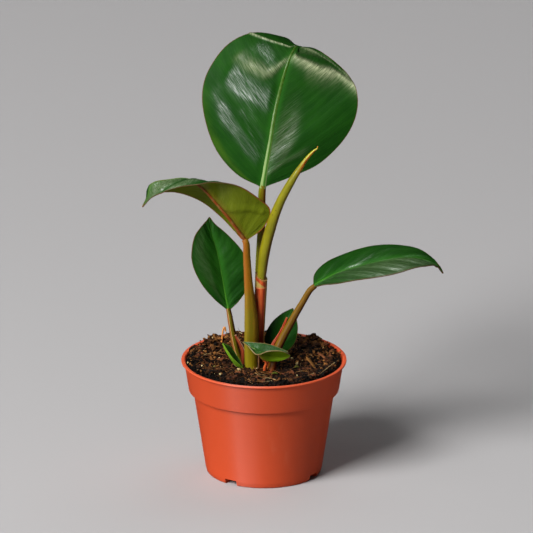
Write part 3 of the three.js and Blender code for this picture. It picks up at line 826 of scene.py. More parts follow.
class PHILODENDRON_OT_soil(bpy.types.Operator):
    """Fills the pot with a bed of soil, and strews crumbs, grains, bark chips and fibres on it"""

    bl_idname = "philodendron.soil"
    bl_label = "Potting Soil"
    bl_options = {"REGISTER", "UNDO"}

    def execute(self, context):
        settings = context.scene.philodendron_soil
        rng = random.Random(settings.seed)
        finish = soil_finish("potting soil", settings.dark, settings.brown, settings.tan, settings.pale)
        top = [(SOIL_REACH * (1 - ring / SOIL_RINGS), SOIL_EDGE) for ring in range(SOIL_RINGS)]
        bed = turned("soil_bed", SOIL_OUTLINE + top, SOIL_SIDES)
        for vertex in bed.data.vertices:
            x, y, z = vertex.co / MM
            if z > SOIL_EDGE - 0.01:
                rough = noise.fractal(Vector((x, y, 0)) * 0.45, 0.9, 2.1, 4)
                vertex.co.z = (soil_height(x, y) - 0.5 + 1.1 * rough) * MM
        marked(bed, "tone", [(BED_TONE, 0.0, 0.0)] * len(bed.data.vertices))
        smoothed(bed, 50)
        pieces = []
        for name, pattern, form, kinds, number, spot in (
            ("soil_crumbs", crumb, (2, 0.75), 7, settings.crumbs, crumb_spot),
            ("soil_clumps", crumb, (2, 0.75), 5, settings.clumps, clump_spot),
            ("soil_grains", crumb, (1, 0.4), 5, settings.grains, grain_spot),
            ("bark_chips", bark_chip, (), 6, settings.chips, chip_spot),
            ("soil_fibres", loose_fibre, (), 6, settings.fibres, fibre_spot),
        ):
            patterns = [pattern(f"{name}_{kind}", rng, *form) for kind in range(kinds)]
            pieces.append(strewn(name, patterns, rng, number, spot))
        pieces.append(joined([single_bit(name, rng, *bit) for name, bit in SOIL_BITS.items()], "single_soil_bits"))
        finished(bed, "potting_soil", "soil", finish=finish)
        for piece in pieces:
            if piece.name not in ("soil_grains", "bark_chips"):
                smoothed(piece)
            finished(piece, "potting_soil", finish=finish)
        return {"FINISHED"}


# The leaves. Each rib of a blade is a point on the first margin, one on the midrib and one on the second
# margin, from the base to the tip. Seen from above the blade, with the tip away, the first is the left.
TOP_RIBS = [
    ((-3, 5, 216), (-0.7, 5, 215.8), (1.6, 5, 216)),
    ((-19, 9, 223.5), (0.2, 6, 222), (19, 8, 222)),
    ((-34, 16, 239), (2.2, 8.5, 234), (41, 14, 231)),
    ((-42.5, 23, 260), (4.8, 12.5, 248.5), (62, 21, 253)),
    ((-44.5, 31, 279.5), (7.7, 18, 266.5), (68, 29, 272)),
    ((-39, 42, 295), (12, 26, 284), (64, 39, 286)),
    ((-26, 52, 309.5), (16.7, 36, 298), (52, 50, 296)),
    ((-8.5, 62, 314), (21.4, 48, 305.4), (36.5, 61, 302.5)),
    ((9, 71, 309.2), (24.7, 61, 304.5), (32, 70, 299.5)),
    ((20, 79, 302), (27, 73, 297), (31, 77, 293)),
    ((28.4, 84, 284), (29, 84, 283.6), (29.6, 84, 283.6)),
]
MIDDLE_RIBS = [
    ((-11.3, -8.5, 180), (-13.3, -8, 179.5), (-15.3, -7.5, 179.2)),
    ((0.4, -7, 189.7), (-18, -8.5, 186.2), (-21, -1, 184)),
    ((4.6, -8, 202.7), (-25.3, -9.5, 197.1), (-28.9, 9, 189.7)),
    ((-5, -12, 214.2), (-34.2, -10, 208.5), (-42.7, 17, 198.9)),
    ((-18.8, -16, 224.4), (-43.4, -9, 218.9), (-53.5, 21, 202.7)),
    ((-36.2, -21, 228.4), (-55, -8, 226.6), (-65.1, 21, 206.2)),
    ((-55.7, -23, 226.8), (-68, -7, 225.8), (-74.6, 17, 208)),
    ((-72.4, -19, 220.6), (-81.3, -8, 222.8), (-84.3, 8, 212.8)),
    ((-81.4, -13, 213.7), (-84.3, -9, 213), (-85.3, -4, 210.5)),
    ((-87.6, -9.4, 205.6), (-88, -9, 205.2), (-88.2, -8.6, 205.4)),
]
LEFT_RIBS = [
    ((-27.4, 2, 122.6), (-25.7, 2, 122.3), (-24, 2, 122.6)),
    ((-36, 0, 131), (-27, 3, 128.7), (-18, 3, 128.5)),
    ((-46.3, -1, 145), (-29, 5, 139.5), (-12.2, 4, 138.3)),
    ((-52.2, 0, 161), (-31.4, 6.5, 153), (-11.2, 5.5, 150)),
    ((-50.6, 4, 177), (-34, 8.5, 165), (-14.8, 9, 163.5)),
    ((-45.6, 9, 183.5), (-37.2, 11.5, 175.7), (-26, 13, 176)),
    ((-42, 13, 186.2), (-39, 14, 183.3), (-35.8, 15, 184.4)),
    ((-39.8, 16, 188.7), (-39.4, 16, 188.7), (-39, 16, 188.7)),
]
RIGHT_RIBS = [
    ((35.7, -4, 144.1), (35.8, -6, 143.6), (36, -8, 143.6)),
    ((36.7, 6, 148.4), (41.4, -6, 147.3), (43.5, -15, 147.6)),
    ((45.7, 15, 155), (52.2, -5.5, 153), (56.6, -25, 153)),
    ((61.7, 19, 160.7), (65.3, -5, 157.5), (71.8, -29, 156.8)),
    ((80, 20, 165), (80.5, -4.5, 161.3), (87.7, -28, 159.6)),
    ((97.2, 18, 167), (95.7, -4, 164.4), (103, -23, 161.6)),
    ((112.4, 12, 165.7), (109.5, -3.5, 164.4), (115.3, -15, 161.7)),
    ((122.5, 4, 161.3), (121, -3, 161.2), (124, -7, 159.5)),
    ((127.6, -1, 157), (127, -2.5, 156.4), (126.6, -3.5, 156.4)),
    ((130.3, -1.6, 152), (130, -2, 151.7), (129.7, -2.4, 151.9)),
]
BACK_RIBS = [
    ((7, 6, 84.7), (8, 6, 84.5), (9, 6, 84.7)),
    ((2.2, 5.5, 89.9), (8.8, 7, 89.5), (15.7, 6.5, 87.4)),
    ((0.4, 5.5, 97.7), (10.6, 8, 96.1), (22.5, 7, 94.9)),
    ((1.9, 7, 104.1), (12.4, 9.5, 103.2), (24.7, 8.5, 103.9)),
    ((6.6, 10, 110.7), (15.3, 11.5, 110.2), (24, 11, 110.9)),
    ((13.8, 13, 115.9), (19, 13.5, 115.6), (22.4, 13.5, 115.3)),
    ((20.6, 16, 118.4), (21, 16, 118.4), (21.4, 16, 118.4)),
]
FRONT_RIBS = [
    ((2.2, -22.6, 91.8), (1, -22, 91.4), (-0.1, -21.4, 91.4)),
    ((12.4, -26, 93.3), (-1.6, -22.8, 94), (13, -18, 93.5)),
    ((19, -26, 97), (-3.6, -22.8, 96.4), (17.8, -19, 96.6)),
    ((13, -31, 102.5), (-4.6, -22.2, 98.4), (10.2, -18, 100.6)),
    ((3, -33, 103.3), (-6, -21, 99.9), (1.5, -17, 103)),
    ((-5, -31, 100), (-8.8, -19.5, 101), (-6.4, -16.5, 103.7)),
    ((-10.8, -23, 103.2), (-12.2, -18, 102.5), (-11.9, -16, 104)),
    ((-14.8, -17.2, 104), (-15.1, -16.8, 104.2), (-15.3, -16.4, 104.4)),
]
LOW_RIBS = [
    ((-14.9, -13.3, 82.8), (-15.7, -12.5, 82.4), (-14.9, -11.7, 82.9)),
    ((-19.2, -15.5, 88.2), (-19.8, -14, 84.8), (-17, -10, 87.1)),
    ((-22.7, -17, 92.4), (-23.8, -15.5, 90.7), (-19.9, -10, 91.8)),
    ((-26, -16.5, 97.4), (-27.1, -15.5, 96.4), (-23.5, -11.5, 98.1)),
    ((-29.2, -15.6, 102.6), (-29.6, -15.3, 102.4), (-29.4, -14.8, 102.8)),
]


# How many side veins are grooved along a blade, the midrib's start and length as shares of the blade, and
# how long the blade is taken to be where the midrib starts before its base.
GROOVES = 24
MIDRIB_START = -0.02
MIDRIB_LENGTH = 1.01
LENGTH_BEFORE_BASE = 60


class Fold:
    """A ridge across one half of a blade, or with a negative height a hollow: its line as (across, along)
    places from the midrib outwards, its height, how far it falls off towards the base and towards the
    tip in millimetres, how much pale painted sheen and highlight it lays on, and how glossy and how
    yellow it is."""

    def __init__(self, side, line, height, before, beyond, pale=0.0, gloss=0.0, yellow=0.0):
        self.side = side
        self.line = line
        self.height = height
        self.widths = (before, beyond)
        self.look = (pale, gloss, yellow)

    def strength(self, share, along, side, long):
        """How much of the fold is at a place, from 0 to 1."""
        if side != self.side:
            return 0.0
        nearest = min(max(share, self.line[0][0]), self.line[-1][0])
        for (inner, start), (outer, end) in zip(self.line, self.line[1:]):
            if nearest <= outer:
                centre = start + (end - start) * (nearest - inner) / (outer - inner)
                break
        off = (along - centre) * long
        return hump(share, nearest, 0.07) * hump(off, 0, self.widths[off > 0])


class Blade:
    """A blade's form: its ribs, how far each half bulges upwards, the wave of its margins, the midrib's
    radius at the base and the tip, the pleats along the side veins, the gloss of each half, the swells
    as (vein, height) places for each half, and its folds."""

    def __init__(self, ribs, grid, bulge, wave, waves, midrib, keel, pleats, gloss, swells=None, folds=()):
        self.lines = [[Vector(rib[line]) for rib in ribs] for line in range(3)]
        self.grid = grid
        self.bulge = bulge
        self.wave = wave
        self.waves = waves
        self.midrib = midrib
        self.keel = keel
        self.pleats = pleats
        self.gloss = gloss
        self.swells = swells
        self.folds = folds
        self.long = sum((b - a).length for a, b in zip(self.lines[1], self.lines[1][1:]))
        self.rows = {}

    def row(self, along):
        """The margins, the midrib and its direction at a place along the blade."""
        key = round(along, 5)
        if key not in self.rows:
            first, middle, second = [on_curve(line, along) for line in self.lines]
            self.rows[key] = first, middle, second, heading(self.lines[1], along)
        return self.rows[key]

    def up(self, along):
        """The upward direction on the midrib."""
        first, _, second, ahead = self.row(along)
        return (second - first).cross(ahead).normalized()

    def vein(self, across, along):
        """The place along the midrib where the side vein through a point leaves it."""
        return along - 0.36 * abs(across) ** 1.15 * (1 - 0.72 * along)

    def place(self, across, along, pleat_height=0.0, groove_depth=0.0):
        """A point of the upper skin."""
        first, middle, second, ahead = self.row(along)
        edge, sign, side = (first, -1, 0) if across < 0 else (second, 1, 1)
        share = abs(across)
        up = (sign * (edge - middle)).cross(ahead).normalized()
        swell = math.sin(math.pi * min(1, along * 1.15)) ** 2
        lift = self.bulge[side] * swell * 4 * share * (1 - share)
        lift += self.wave * swell * share ** 2 * math.sin(2 * math.pi * self.waves * along + 2 * side)
        fade = smooth(0, 0.12, along) * smooth(1, 0.85, along) * smooth(0, 0.25, share) * smooth(1.04, 0.8, share)
        vein = self.vein(across, along)
        count, size = self.pleats
        ripple = math.sin(2 * math.pi * count * vein + 1.7 * side) + 0.35 * math.sin(6.1 * math.pi * count * vein)
        lift += pleat_height * size * fade * ripple
        lift -= groove_depth * fade * hump((vein * GROOVES) % 1, 0.5, 0.16)
        if self.swells:
            lift += on_steps(self.swells[side], vein) * smooth(0, 0.2, share)
        for fold in self.folds:
            lift += fold.height * fold.strength(share, along, side, self.long) * smooth(0, 0.1, share)
        return middle.lerp(edge, share) + up * lift

    def look(self, across, along):
        """How much pale painted sheen and highlight, how glossy and how yellow a place is."""
        share, side = abs(across), int(across >= 0)
        look = [0.0, self.gloss[side], 0.0]
        for fold in self.folds:
            strength = fold.strength(share, along, side, self.long)
            look = [amount + more * strength for amount, more in zip(look, fold.look)]
        return tuple(min(1.0, max(0.0, amount)) for amount in look)


TOP_SWELLS = (
    [(0.0, 0.0), (0.14, 0.5), (0.2, 0.6), (0.3, -0.8), (0.36, -0.8), (0.5, 0.0), (0.7, 0.0)],
    [(0.0, 0.0), (0.12, 0.8), (0.17, 0.8), (0.3, -0.9), (0.36, -0.9), (0.5, 0.0), (0.7, 0.0)],
)
# Pale in the folds is painted sheen and highlight: the pale crease line, the pale ridges and the sheen by the lower
# midrib of the top blade, and soft sheen on the middle, left and right blades, with less of it in the middle blade's
# furrows.
TOP_FOLDS = (
    Fold(0, [(0.06, 0.75), (0.1, 0.71), (0.42, 0.69), (0.7, 0.685), (1.0, 0.69)], 0.9, 0.8, 1.1, 0.95, 0.3),
    Fold(0, [(0.06, 0.61), (0.14, 0.56), (0.24, 0.535), (0.48, 0.54), (0.7, 0.56)], 1.6, 3.2, 4, 0.18, 0.1),
    Fold(0, [(0.02, 0.63), (0.14, 0.56), (0.24, 0.535), (0.5, 0.545)], 0, 3, 3.4, 0.34),
    Fold(0, [(0.3, 0.6), (0.44, 0.63), (0.56, 0.645)], 0, 4, 5, 0, 0.35),
    Fold(0, [(0.26, 0.23), (0.42, 0.275), (0.57, 0.325), (0.68, 0.358)], 0, 6, 3.6, 0, 2.0),
    Fold(0, [(0.6, 0.345), (0.7, 0.38), (0.78, 0.41)], 0, 4, 4, 0, 0.25),
    Fold(0, [(0.1, 0.44), (0.3, 0.447), (0.5, 0.46), (0.62, 0.475)], 0, 4.2, 5, 0, 2.4),
    Fold(0, [(0.04, 0.2), (0.11, 0.25), (0.22, 0.325), (0.3, 0.37)], 0, 7, 7, 0, 0.35),
    Fold(0, [(0.1, 0.475), (0.3, 0.482), (0.5, 0.495), (0.7, 0.51)], 1.8, 11, 6),
    Fold(0, [(0.16, 0.22), (0.21, 0.255), (0.34, 0.335), (0.41, 0.37)], 0.1, 1.8, 1.8, 0, 0.7),
    Fold(0, [(0.78, 0.05), (0.86, 0.16), (1.0, 0.3)], 0, 16, 16, 0, 0, 0.5),
    Fold(
        1, [(0.12, 0.645), (0.21, 0.625), (0.45, 0.59), (0.63, 0.56), (0.82, 0.545), (0.92, 0.505), (1.0, 0.47)],
        2, 4.5, 3, 0.75, 0.2,
    ),
    Fold(1, [(0.4, 0.58), (0.63, 0.55), (0.82, 0.54), (0.92, 0.51), (1.0, 0.49)], 0, 8, 4, 0.3, 0.1),
    Fold(1, [(0.42, 0.735), (0.83, 0.665), (0.9, 0.61), (0.96, 0.53)], 0, 2.2, 2.5, 0.5),
    Fold(1, [(0.3, 0.69), (0.6, 0.67), (0.9, 0.63)], -1.6, 4, 5, 0.12),
    Fold(1, [(0.02, 0.22), (0.12, 0.3), (0.24, 0.31)], 0, 17, 15, 0.14, 1.1),
    Fold(1, [(0.13, 0.14), (0.3, 0.2), (0.5, 0.24)], 0.1, 2.5, 2.5, 0.1, 0.6),
)
MIDDLE_FOLDS = (
    Fold(0, [(0.1, 0.55), (0.5, 0.66), (0.95, 0.8)], -0.8, 3, 4, -0.2, -0.6),
    Fold(0, [(0.1, 0.4), (0.5, 0.5), (0.95, 0.62)], -0.8, 3, 4, -0.2, -0.6),
    Fold(0, [(0.1, 0.65), (1.0, 0.82)], 0, 26, 30, 0.24),
    Fold(0, [(0.12, 0.28), (0.2, 0.268), (0.47, 0.26), (0.8, 0.22)], -1.1, 2, 3.5),
)
LEFT_FOLDS = (Fold(0, [(0.45, 0.3), (0.55, 0.35), (0.65, 0.47), (0.85, 0.57)], 0, 13, 13, 0.06, 0.4),)
RIGHT_FOLDS = (
    Fold(0, [(0.05, 0.32), (0.21, 0.38), (0.41, 0.45), (0.52, 0.51)], 0.6, 4, 5, 0, 0.7),
    Fold(0, [(0.04, 0.6), (0.2, 0.68), (0.4, 0.74)], 0.3, 4, 5, 0, 0.5),
    Fold(1, [(0.1, 0.5), (1.0, 0.6)], 0, 34, 34, 0.12, -0.25),
)


BLADES = {
    "top": Blade(
        TOP_RIBS, (96, 180), (3, 3), 0.8, 3, (2.4, 0.4), 1.15, (3.6, 0.3), (0.01, 0.015), TOP_SWELLS, TOP_FOLDS
    ),
    "middle": Blade(
        MIDDLE_RIBS, (72, 110), (1.5, 4), 0.4, 2, (1.7, 0.3), 1.2, (4, 0.6), (0.85, 0.85), None, MIDDLE_FOLDS
    ),
    "left": Blade(LEFT_RIBS, (56, 80), (1.5, 1.5), 0.4, 2, (1.1, 0.25), 0.9, (4, 0.5), (0.06, 0.04), None, LEFT_FOLDS),
    "right": Blade(RIGHT_RIBS, (60, 96), (2, 2), 0.5, 3, (1.3, 0.25), 1.1, (5, 0.9), (0.05, 0.8), None, RIGHT_FOLDS),
    "back": Blade(BACK_RIBS, (40, 48), (0.8, 0.8), 0.2, 2, (0.6, 0.2), 0.9, (4, 0.3), (0.1, 0.1)),
    "front": Blade(FRONT_RIBS, (36, 60), (-2.5, -1.5), 0, 1, (0.7, 0.25), 0.9, (4, 0.2), (0.7, 0.7)),
    "low": Blade(LOW_RIBS, (24, 40), (-0.3, -0.8), 0, 1, (0.5, 0.2), 0.9, (3, 0.1), (0.2, 0.2)),
}


def blade_skin(name, blade, settings, finishes):
    """The sheet of a blade, given its thickness, with its upper, under and edge finishes."""
    marks, spread, looks = [], [], []

    def place(across, along):
        first, middle, second, _ = blade.row(along)
        reach = ((first if across < 0 else second) - middle).length
        share = abs(across)
        marks.append((blade.vein(across, along), across, along))
        spread.append((share * reach * MM, (1 - share) * reach * MM, 0.0))
        looks.append(blade.look(across, along))
        return blade.place(across, along, settings.pleats / MM, settings.grooves / MM)

    skin = sheet(f"{name}_leaf_blade", *blade.grid, place)
    for layer, values in (("leaf", marks), ("spread", spread), ("look", looks)):
        marked(skin, layer, values)
    for finish in finishes:
        skin.data.materials.append(finish)
    modified(
        skin, "SOLIDIFY", thickness=settings.thickness, offset=-1, use_even_offset=False,
        material_offset=1, material_offset_rim=2,
    )
    smoothed(skin)
    return skin


def blade_midrib(name, blade, finish):
    """The midrib: a low round ridge on the upper side and a deeper keel under the blade."""
    base, tip = blade.midrib
    marks = []

    def place(turn, along):
        stretch = MIDRIB_START + MIDRIB_LENGTH * along
        _, middle, _, ahead = blade.row(max(0, stretch))
        if stretch < 0:
            middle = middle + ahead * stretch * LENGTH_BEFORE_BASE
        up = blade.up(max(0, stretch))
        radius = tip + (base - tip) * (1 - along) ** 1.1
        rise, reach = math.sin(turn), math.cos(turn)
        height = rise * radius * (0.5 if rise > 0 else blade.keel) - 0.12 * radius - 0.05
        marks.append((rise, reach, along))
        return middle + ahead.cross(up) * reach * radius * 0.95 + up * height

    rib = tube(f"{name}_midrib", 20, 80, place)
    marked(rib, "section", marks)
    rib.data.materials.append(finish)
    smoothed(rib, 70)
    return rib


def rib_finish(name, top, stripe, under, tip):
    """A midrib: pale on the upper side with a greener stripe, red-brown underneath."""
    shader = Shader(name)
    rise, reach, along = shader.marks("section")
    clouds = shader.grain(shader.place(), 300.0, 3.0)
    shader.base = shader.mixed((reach + (clouds - 0.5) * 0.2).step(-0.25, 0.05) * reach.step(0.75, 0.5), top, stripe)
    shader.paint(along.step(0.1, 0.5), tip)
    shader.base = shader.mixed(rise.step(-0.1, 0.15), under, shader.base)
    shader.paint(clouds.step(0.4, 0.8) * 0.25, top)
    return shader.finish(0.34 + (clouds - 0.5) * 0.2, clouds, 0.0001, Specular_IOR_Level=0.25)


def leaf_palettes(settings):
    """The finishes' colours and amounts for each age of leaf, upper side and underside."""
    upper = {
        "main": settings.deep, "light": settings.fresh, "streak": "30601c", "streaks": 0.16, "vein": "30601c",
        "vein_share": 0.14, "veins": 26, "rib": "2c6a1a", "rib_share": 0.35, "margin": settings.margin,
        "margin_width": 0.0004, "relief": 0.22, "gloss": 1.0, "tip": "8a3a1e", "yellow": "40600e",
    }
    under = dict(
        upper, main=settings.under, light="5a630c", streak="6c7414", streaks=0.4, gloss=0.04, vein="666e14",
        vein_share=0.2, rib="6a4a12", rib_share=0.4, margin="8a3f1a", margin_width=0.0006, relief=0.25,
    )
    small = {"margin": "8a7448", "tip": "8a7448", "margin_width": 0.00022, "veins": 14}
    young_upper = dict(upper, main="1c4412", light="345e20", streak="4a7434", **small)
    young_under = dict(under, main=settings.young, light="6a8c14", streak="7a9c20", rib="7a4a1e", **small)
    newest_upper = dict(young_upper, margin="6f9a2a", tip="6f9a2a")
    newest_under = dict(
        young_under, main="6c9a1e", light="84b02e", streak="92bc3c", rib="5a7a1a", margin="84b02e", tip="84b02e"
    )
    return {"grown": (upper, under), "young": (young_upper, young_under), "newest": (newest_upper, newest_under)}


class PHILODENDRON_OT_blades(bpy.types.Operator):
    """Lays the seven open blades over their ribs, with pleats, side veins and midribs"""

    bl_idname = "philodendron.blades"
    bl_label = "Leaf Blades"
    bl_options = {"REGISTER", "UNDO"}

    def execute(self, context):
        settings = context.scene.philodendron_leaf
        finishes = {}
        for age, (upper, under) in leaf_palettes(settings).items():
            edge = plain_finish(f"{age} leaf edge", upper["margin"], shaded(upper["margin"], 0.7), 0.5)
            finishes[age] = (
                leaf_finish(f"{age} leaf upper side", upper), leaf_finish(f"{age} leaf underside", under), edge,
            )
        ribs = {}
        for kind, *tones in (
            ("grown", settings.rib, "3a6e1c", "6a3a14", "36580f"),
            ("green", "3f7a1c", "36701a", "6a3a14", "2c5c14"),
            ("red-backed", settings.rib, "3a6e1c", "7a3c14", "42681a"),
            ("young", "8fa860", "6f9440", "7a3a1c", "8aa850"),
        ):
            ribs[kind] = rib_finish(f"{kind} midrib", *tones)
        for name, blade in BLADES.items():
            age = {"front": "young", "low": "newest"}.get(name, "grown")
            kind = {"top": "grown", "middle": "red-backed", "front": "young", "low": "young"}.get(name, "green")
            skin = blade_skin(name, blade, settings, finishes[age])
            leaf = joined([skin, blade_midrib(name, blade, ribs[kind])], f"{name}_leaf_blade")
            finished(leaf, "leaf_blade" if age == "grown" else "young_blade", f"{name}_blade")
        return {"FINISHED"}


# The stalks: points of the middle line above the soil and the radius at each, the last one at the blade.
STALKS = {
    "top": (
        [(-5, 7.2, 81), (-4.7, 7.2, 105), (-4.1, 6.6, 130), (-3.2, 5.6, 160), (-1.6, 4.6, 190)],
        [2.9, 2.8, 2.8, 2.8, 2.7, 2.7],
    ),
    "middle": (
        [
            (-9.1, -8.2, 81), (-9, -8.2, 100), (-9.1, -8.2, 117), (-10.3, -8.1, 134.7), (-11.3, -8, 147),
            (-12.3, -8, 165),
        ],
        [4.8, 5.3, 5.1, 3.8, 3.1, 2.7, 2.4],
    ),
    "left": ([(-16.3, 0.5, 81), (-19.9, 0.8, 92), (-22.4, 1, 103.5), (-24.1, 1.5, 113)], [2.6, 2.4, 2.3, 2.1, 1.9]),
    "right": (
        [(5.2, -17.3, 80.5), (7.7, -14, 91), (11.2, -10.5, 99.8), (20.8, -7, 118), (28.3, -6.1, 131.3)],
        [3, 3.1, 3, 2.7, 2.3, 2.2],
    ),
    "back": ([(7.7, 5.3, 81.4)], [1.2, 1]),
    "front": ([(0.9, -19.6, 80), (0.8, -21, 86)], [1.35, 1.3, 0.9]),
    "low": ([(-14.1, -12.6, 80.2)], [1, 0.8]),
}
KEELS = {"top": 4.2, "middle": 3.6, "left": 2.6, "right": 3, "back": 1.4, "front": 1.4, "low": 0.6}
# How far before its blade a stalk bends into the midrib's line, in radii.
USUAL_BEND = 1.6
STALK_BENDS = {"middle": 0.5}
FOOT_DEPTH = 9


class Spine:
    """A smooth line in even steps, with a steady pair of cross directions at each."""

    def __init__(self, points, steps, sideways=(1, 0, 0)):
        points = [Vector(point) for point in points]
        self.steps = steps
        self.places = [on_curve(points, step / steps) for step in range(steps + 1)]
        side = Vector(sideways)
        self.frames = []
        for step in range(steps + 1):
            ahead = heading(points, min(max(step / steps, 0.002), 0.998))
            side = (side - ahead * side.dot(ahead)).normalized()
            self.frames.append((side, ahead.cross(side), ahead))

    def at(self, along):
        step = min(self.steps, max(0, round(along * self.steps)))
        return self.places[step], self.frames[step]


def rooted(points, radii):
    """A stem's points and radii with a foot in the soil."""
    x, y, z = points[0]
    return [(x, y, z - FOOT_DEPTH)] + list(points), [radii[0]] + list(radii)


def stalk_line(name):
    """The points and radii of a stalk from its foot into its blade's midrib."""
    points, radii = rooted(*STALKS[name])
    blade = BLADES[name]
    _, base, _, ahead = blade.row(0)
    up = blade.up(0)
    ahead = (ahead - up * ahead.dot(up)).normalized()
    end_radius = radii[-1]
    drop = up * KEELS[name] / 2
    reach = STALK_BENDS.get(name, USUAL_BEND) * end_radius
    beyond = [base - drop - ahead * reach, base - drop * 0.55 + ahead * 1.2]
    return points + [tuple(point) for point in beyond], radii + [end_radius * 0.85]


def round_stem(name, points, radii, sides, rows, shape=None):
    """A stem along a smooth line. shape(turn, along) may vary the radius."""
    spine = Spine(points, rows)
    marks = []

    def place(turn, along):
        centre, (side, other, _) = spine.at(along)
        outward = side * math.cos(turn) + other * math.sin(turn)
        radius = on_list(radii, along) * (shape(turn, along) if shape else 1)
        marks.append((outward.x, outward.y, along))
        return centre + outward * radius

    stem = tube(name, sides, rows, place)
    marked(stem, "section", marks)
    smoothed(stem)
    return stem


def channelled(turn, along):
    """A stalk's section: round, with a shallow channel at the back and fine ridges."""
    channel = 0.12 * hump(math.sin(turn), 1, 0.5)
    return 1 - channel + 0.012 * math.sin(11 * turn + 3 * along) + 0.012 * math.sin(7 * turn - 9 * along)


class PHILODENDRON_OT_stalks(bpy.types.Operator):
    """Draws the seven leaf stalks from the soil to their blades"""

    bl_idname = "philodendron.stalks"
    bl_label = "Leaf Stalks"
    bl_options = {"REGISTER", "UNDO"}

    def execute(self, context):
        settings = context.scene.philodendron_stalk
        olive, brown, dark = settings.olive, settings.brown, settings.dark
        # Each row: the stalk, its slot, the painted light of its left side, the colour of its middle, the painted
        # shade of its right side, the colour of its foot, how spotted it is, how strong its painted highlight line is,
        # and the upper half's left and middle.
        for name, slot, *tones in (
            ("top", "petiole", "504e06", "484a04", brown, brown, 0.2, 0.0, ("70720e", "6e6010")),
            ("middle", "petiole", "7e6c18", "5e5206", "7e5e12", "847a10", 0.9, 0.0, ("945822", "84520a")),
            ("left", "petiole", "905626", olive, "4a2c10", brown, 0.2, 0.6),
            ("right", "red_stem", "745410", "62440c", dark, "94381a"),
            ("back", "red_stem", brown, brown, dark, brown),
            ("front", "red_stem", "c05a2c", "b04a22", dark, "a83e1c"),
            ("low", "young_blade", "8a9a3a", "7a8a2e", brown, brown),
        ):
            thin = name in ("back", "front", "low")
            sides, rows, shape = (16, 24, None) if thin else (32, 90, channelled)
            stem = round_stem(f"{name}_leaf_stalk", *stalk_line(name), sides, rows, shape)
            finished(stem, slot, f"{name}_petiole", finish=stalk_finish(f"{name} stalk", *tones))
        return {"FINISHED"}


# The new leaf and its sheath
NEW_LEAF_POINTS = [
    (-2.2, -1.9, 132), (-2, -2.7, 143), (-1.4, -4.2, 155), (0.7, -6.5, 171.4), (4.4, -9, 187.7),
    (10.8, -12, 208), (20, -14, 227), (25.4, -14.5, 236), (31.2, -15, 245), (36.4, -15.3, 250.8),
    (38.4, -15.5, 252.4), (38.9, -15.5, 254.2),
]
NEW_LEAF_RADII = [2.2, 2.9, 3.5, 3.9, 3.8, 3.3, 2.7, 2.1, 1.3, 0.8, 0.6, 0.35]
SHEATH_POINTS = [(-3.8, -0.2, 81), (-3.3, -0.4, 108), (-2.6, -1.4, 128), (-2, -2.8, 143), (-1.6, -4, 154)]
SHEATH_RADII = [3.5, 3.9, 4.2, 4.4, 4.3]
SHEATH_MOUTH = {"height": 148, "slant": 45}
# The pale fold on the sheath, in metres: its low edge, its slanted high edge and the slant's slope.
SHEATH_FOLD = (0.142, 0.1435, 0.86)


def rolled_section(turn, along):
    """The rolled leaf's section: a step where its outer edge ends, which winds slowly round the spike."""
    past = (turn + 0.5 - 2.4 * along) % (2 * math.pi)
    return 0.95 + 0.09 * (past / (2 * math.pi)) - 0.05 * hump(past, 0, 0.25)


def rolled_finish():
    """The rolled leaf: yellow-olive, browner to the right, a bright tip, an orange hook and small spots."""
    shader = Shader("rolled leaf")
    outward, _, along = shader.marks("section")
    place = shader.place()
    stripes = shader.stripes(600.0, 30.0)
    clouds = shader.grain(place, 70.0, 3.0)
    lean = outward + (clouds - 0.5) * 0.5
    shader.base = shader.mixed(clouds.step(0.3, 0.7), "74700c", "86800c")
    shader.paint(lean.step(0.25, 0.8), "6a4a0c")
    shader.paint(lean.step(-0.6, -0.95) * 0.5, "7a6a14")
    shader.paint(along.step(0.62, 0.8) * lean.step(0.5, -0.2), "a49c10")
    shader.paint(along.step(0.58, 0.7) * along.step(0.93, 0.8) * lean.step(-0.45, 0.2) * 0.9, "a8500f")
    shader.paint(along.step(0.93, 0.97), "c8701e")
    spots = shader.cells(place, 230.0).step(0.16, 0.08) * shader.grain(place, 60.0, 1.0).step(0.5, 0.62)
    shader.paint(spots * 0.7, "4a3208")
    shader.paint(stripes.step(0.5, 0.8) * 0.1, "c0bc4a")
    return shader.finish(0.32 + (stripes - 0.5) * 0.2, stripes, 0.00015, Specular_IOR_Level=0.5)


class PHILODENDRON_OT_new_leaf(bpy.types.Operator):
    """Rolls the new leaf to a spike and stands it in its slanted red sheath"""

    bl_idname = "philodendron.new_leaf"
    bl_label = "New Leaf"
    bl_options = {"REGISTER", "UNDO"}

    def execute(self, context):
        settings = context.scene.philodendron_stalk
        leaf = round_stem("rolled_new_leaf", NEW_LEAF_POINTS, NEW_LEAF_RADII, 40, 130, rolled_section)
        finished(leaf, "rolled_leaf", "new_leaf", finish=rolled_finish())
        points, radii = rooted(SHEATH_POINTS, SHEATH_RADII)
        spine = Spine(points, 200)
        tall = points[-1][2] - points[0][2]
        slope = math.tan(math.radians(SHEATH_MOUTH["slant"]))
        marks = []

        def place(turn, along):
            mouth = SHEATH_MOUTH["height"] - math.cos(turn) * radii[-1] * slope * 0.8 + 1.5 * math.sin(turn)
            share = along * (mouth - points[0][2]) / tall
            centre, (side, other, _) = spine.at(min(1.0, share))
            outward = side * math.cos(turn) + other * math.sin(turn)
            seam = 1 + 0.05 * (((turn + 2.1) % (2 * math.pi)) / (2 * math.pi)) - 0.03
            marks.append((outward.x, outward.y, along))
            return centre + outward * on_list(radii, share) * seam * (1 + 0.03 * smooth(0.97, 1, along))

        sheath = tube("new_leaf_red_sheath", 36, 90, place)
        marked(sheath, "section", marks)
        smoothed(sheath)
        finish = sheath_finish("red sheath", settings.red, "c05c2c", "862e14", "9a7a40", SHEATH_FOLD)
        finished(sheath, "red_sheath", "new_leaf_sheath", finish=finish)
        return {"FINISHED"}


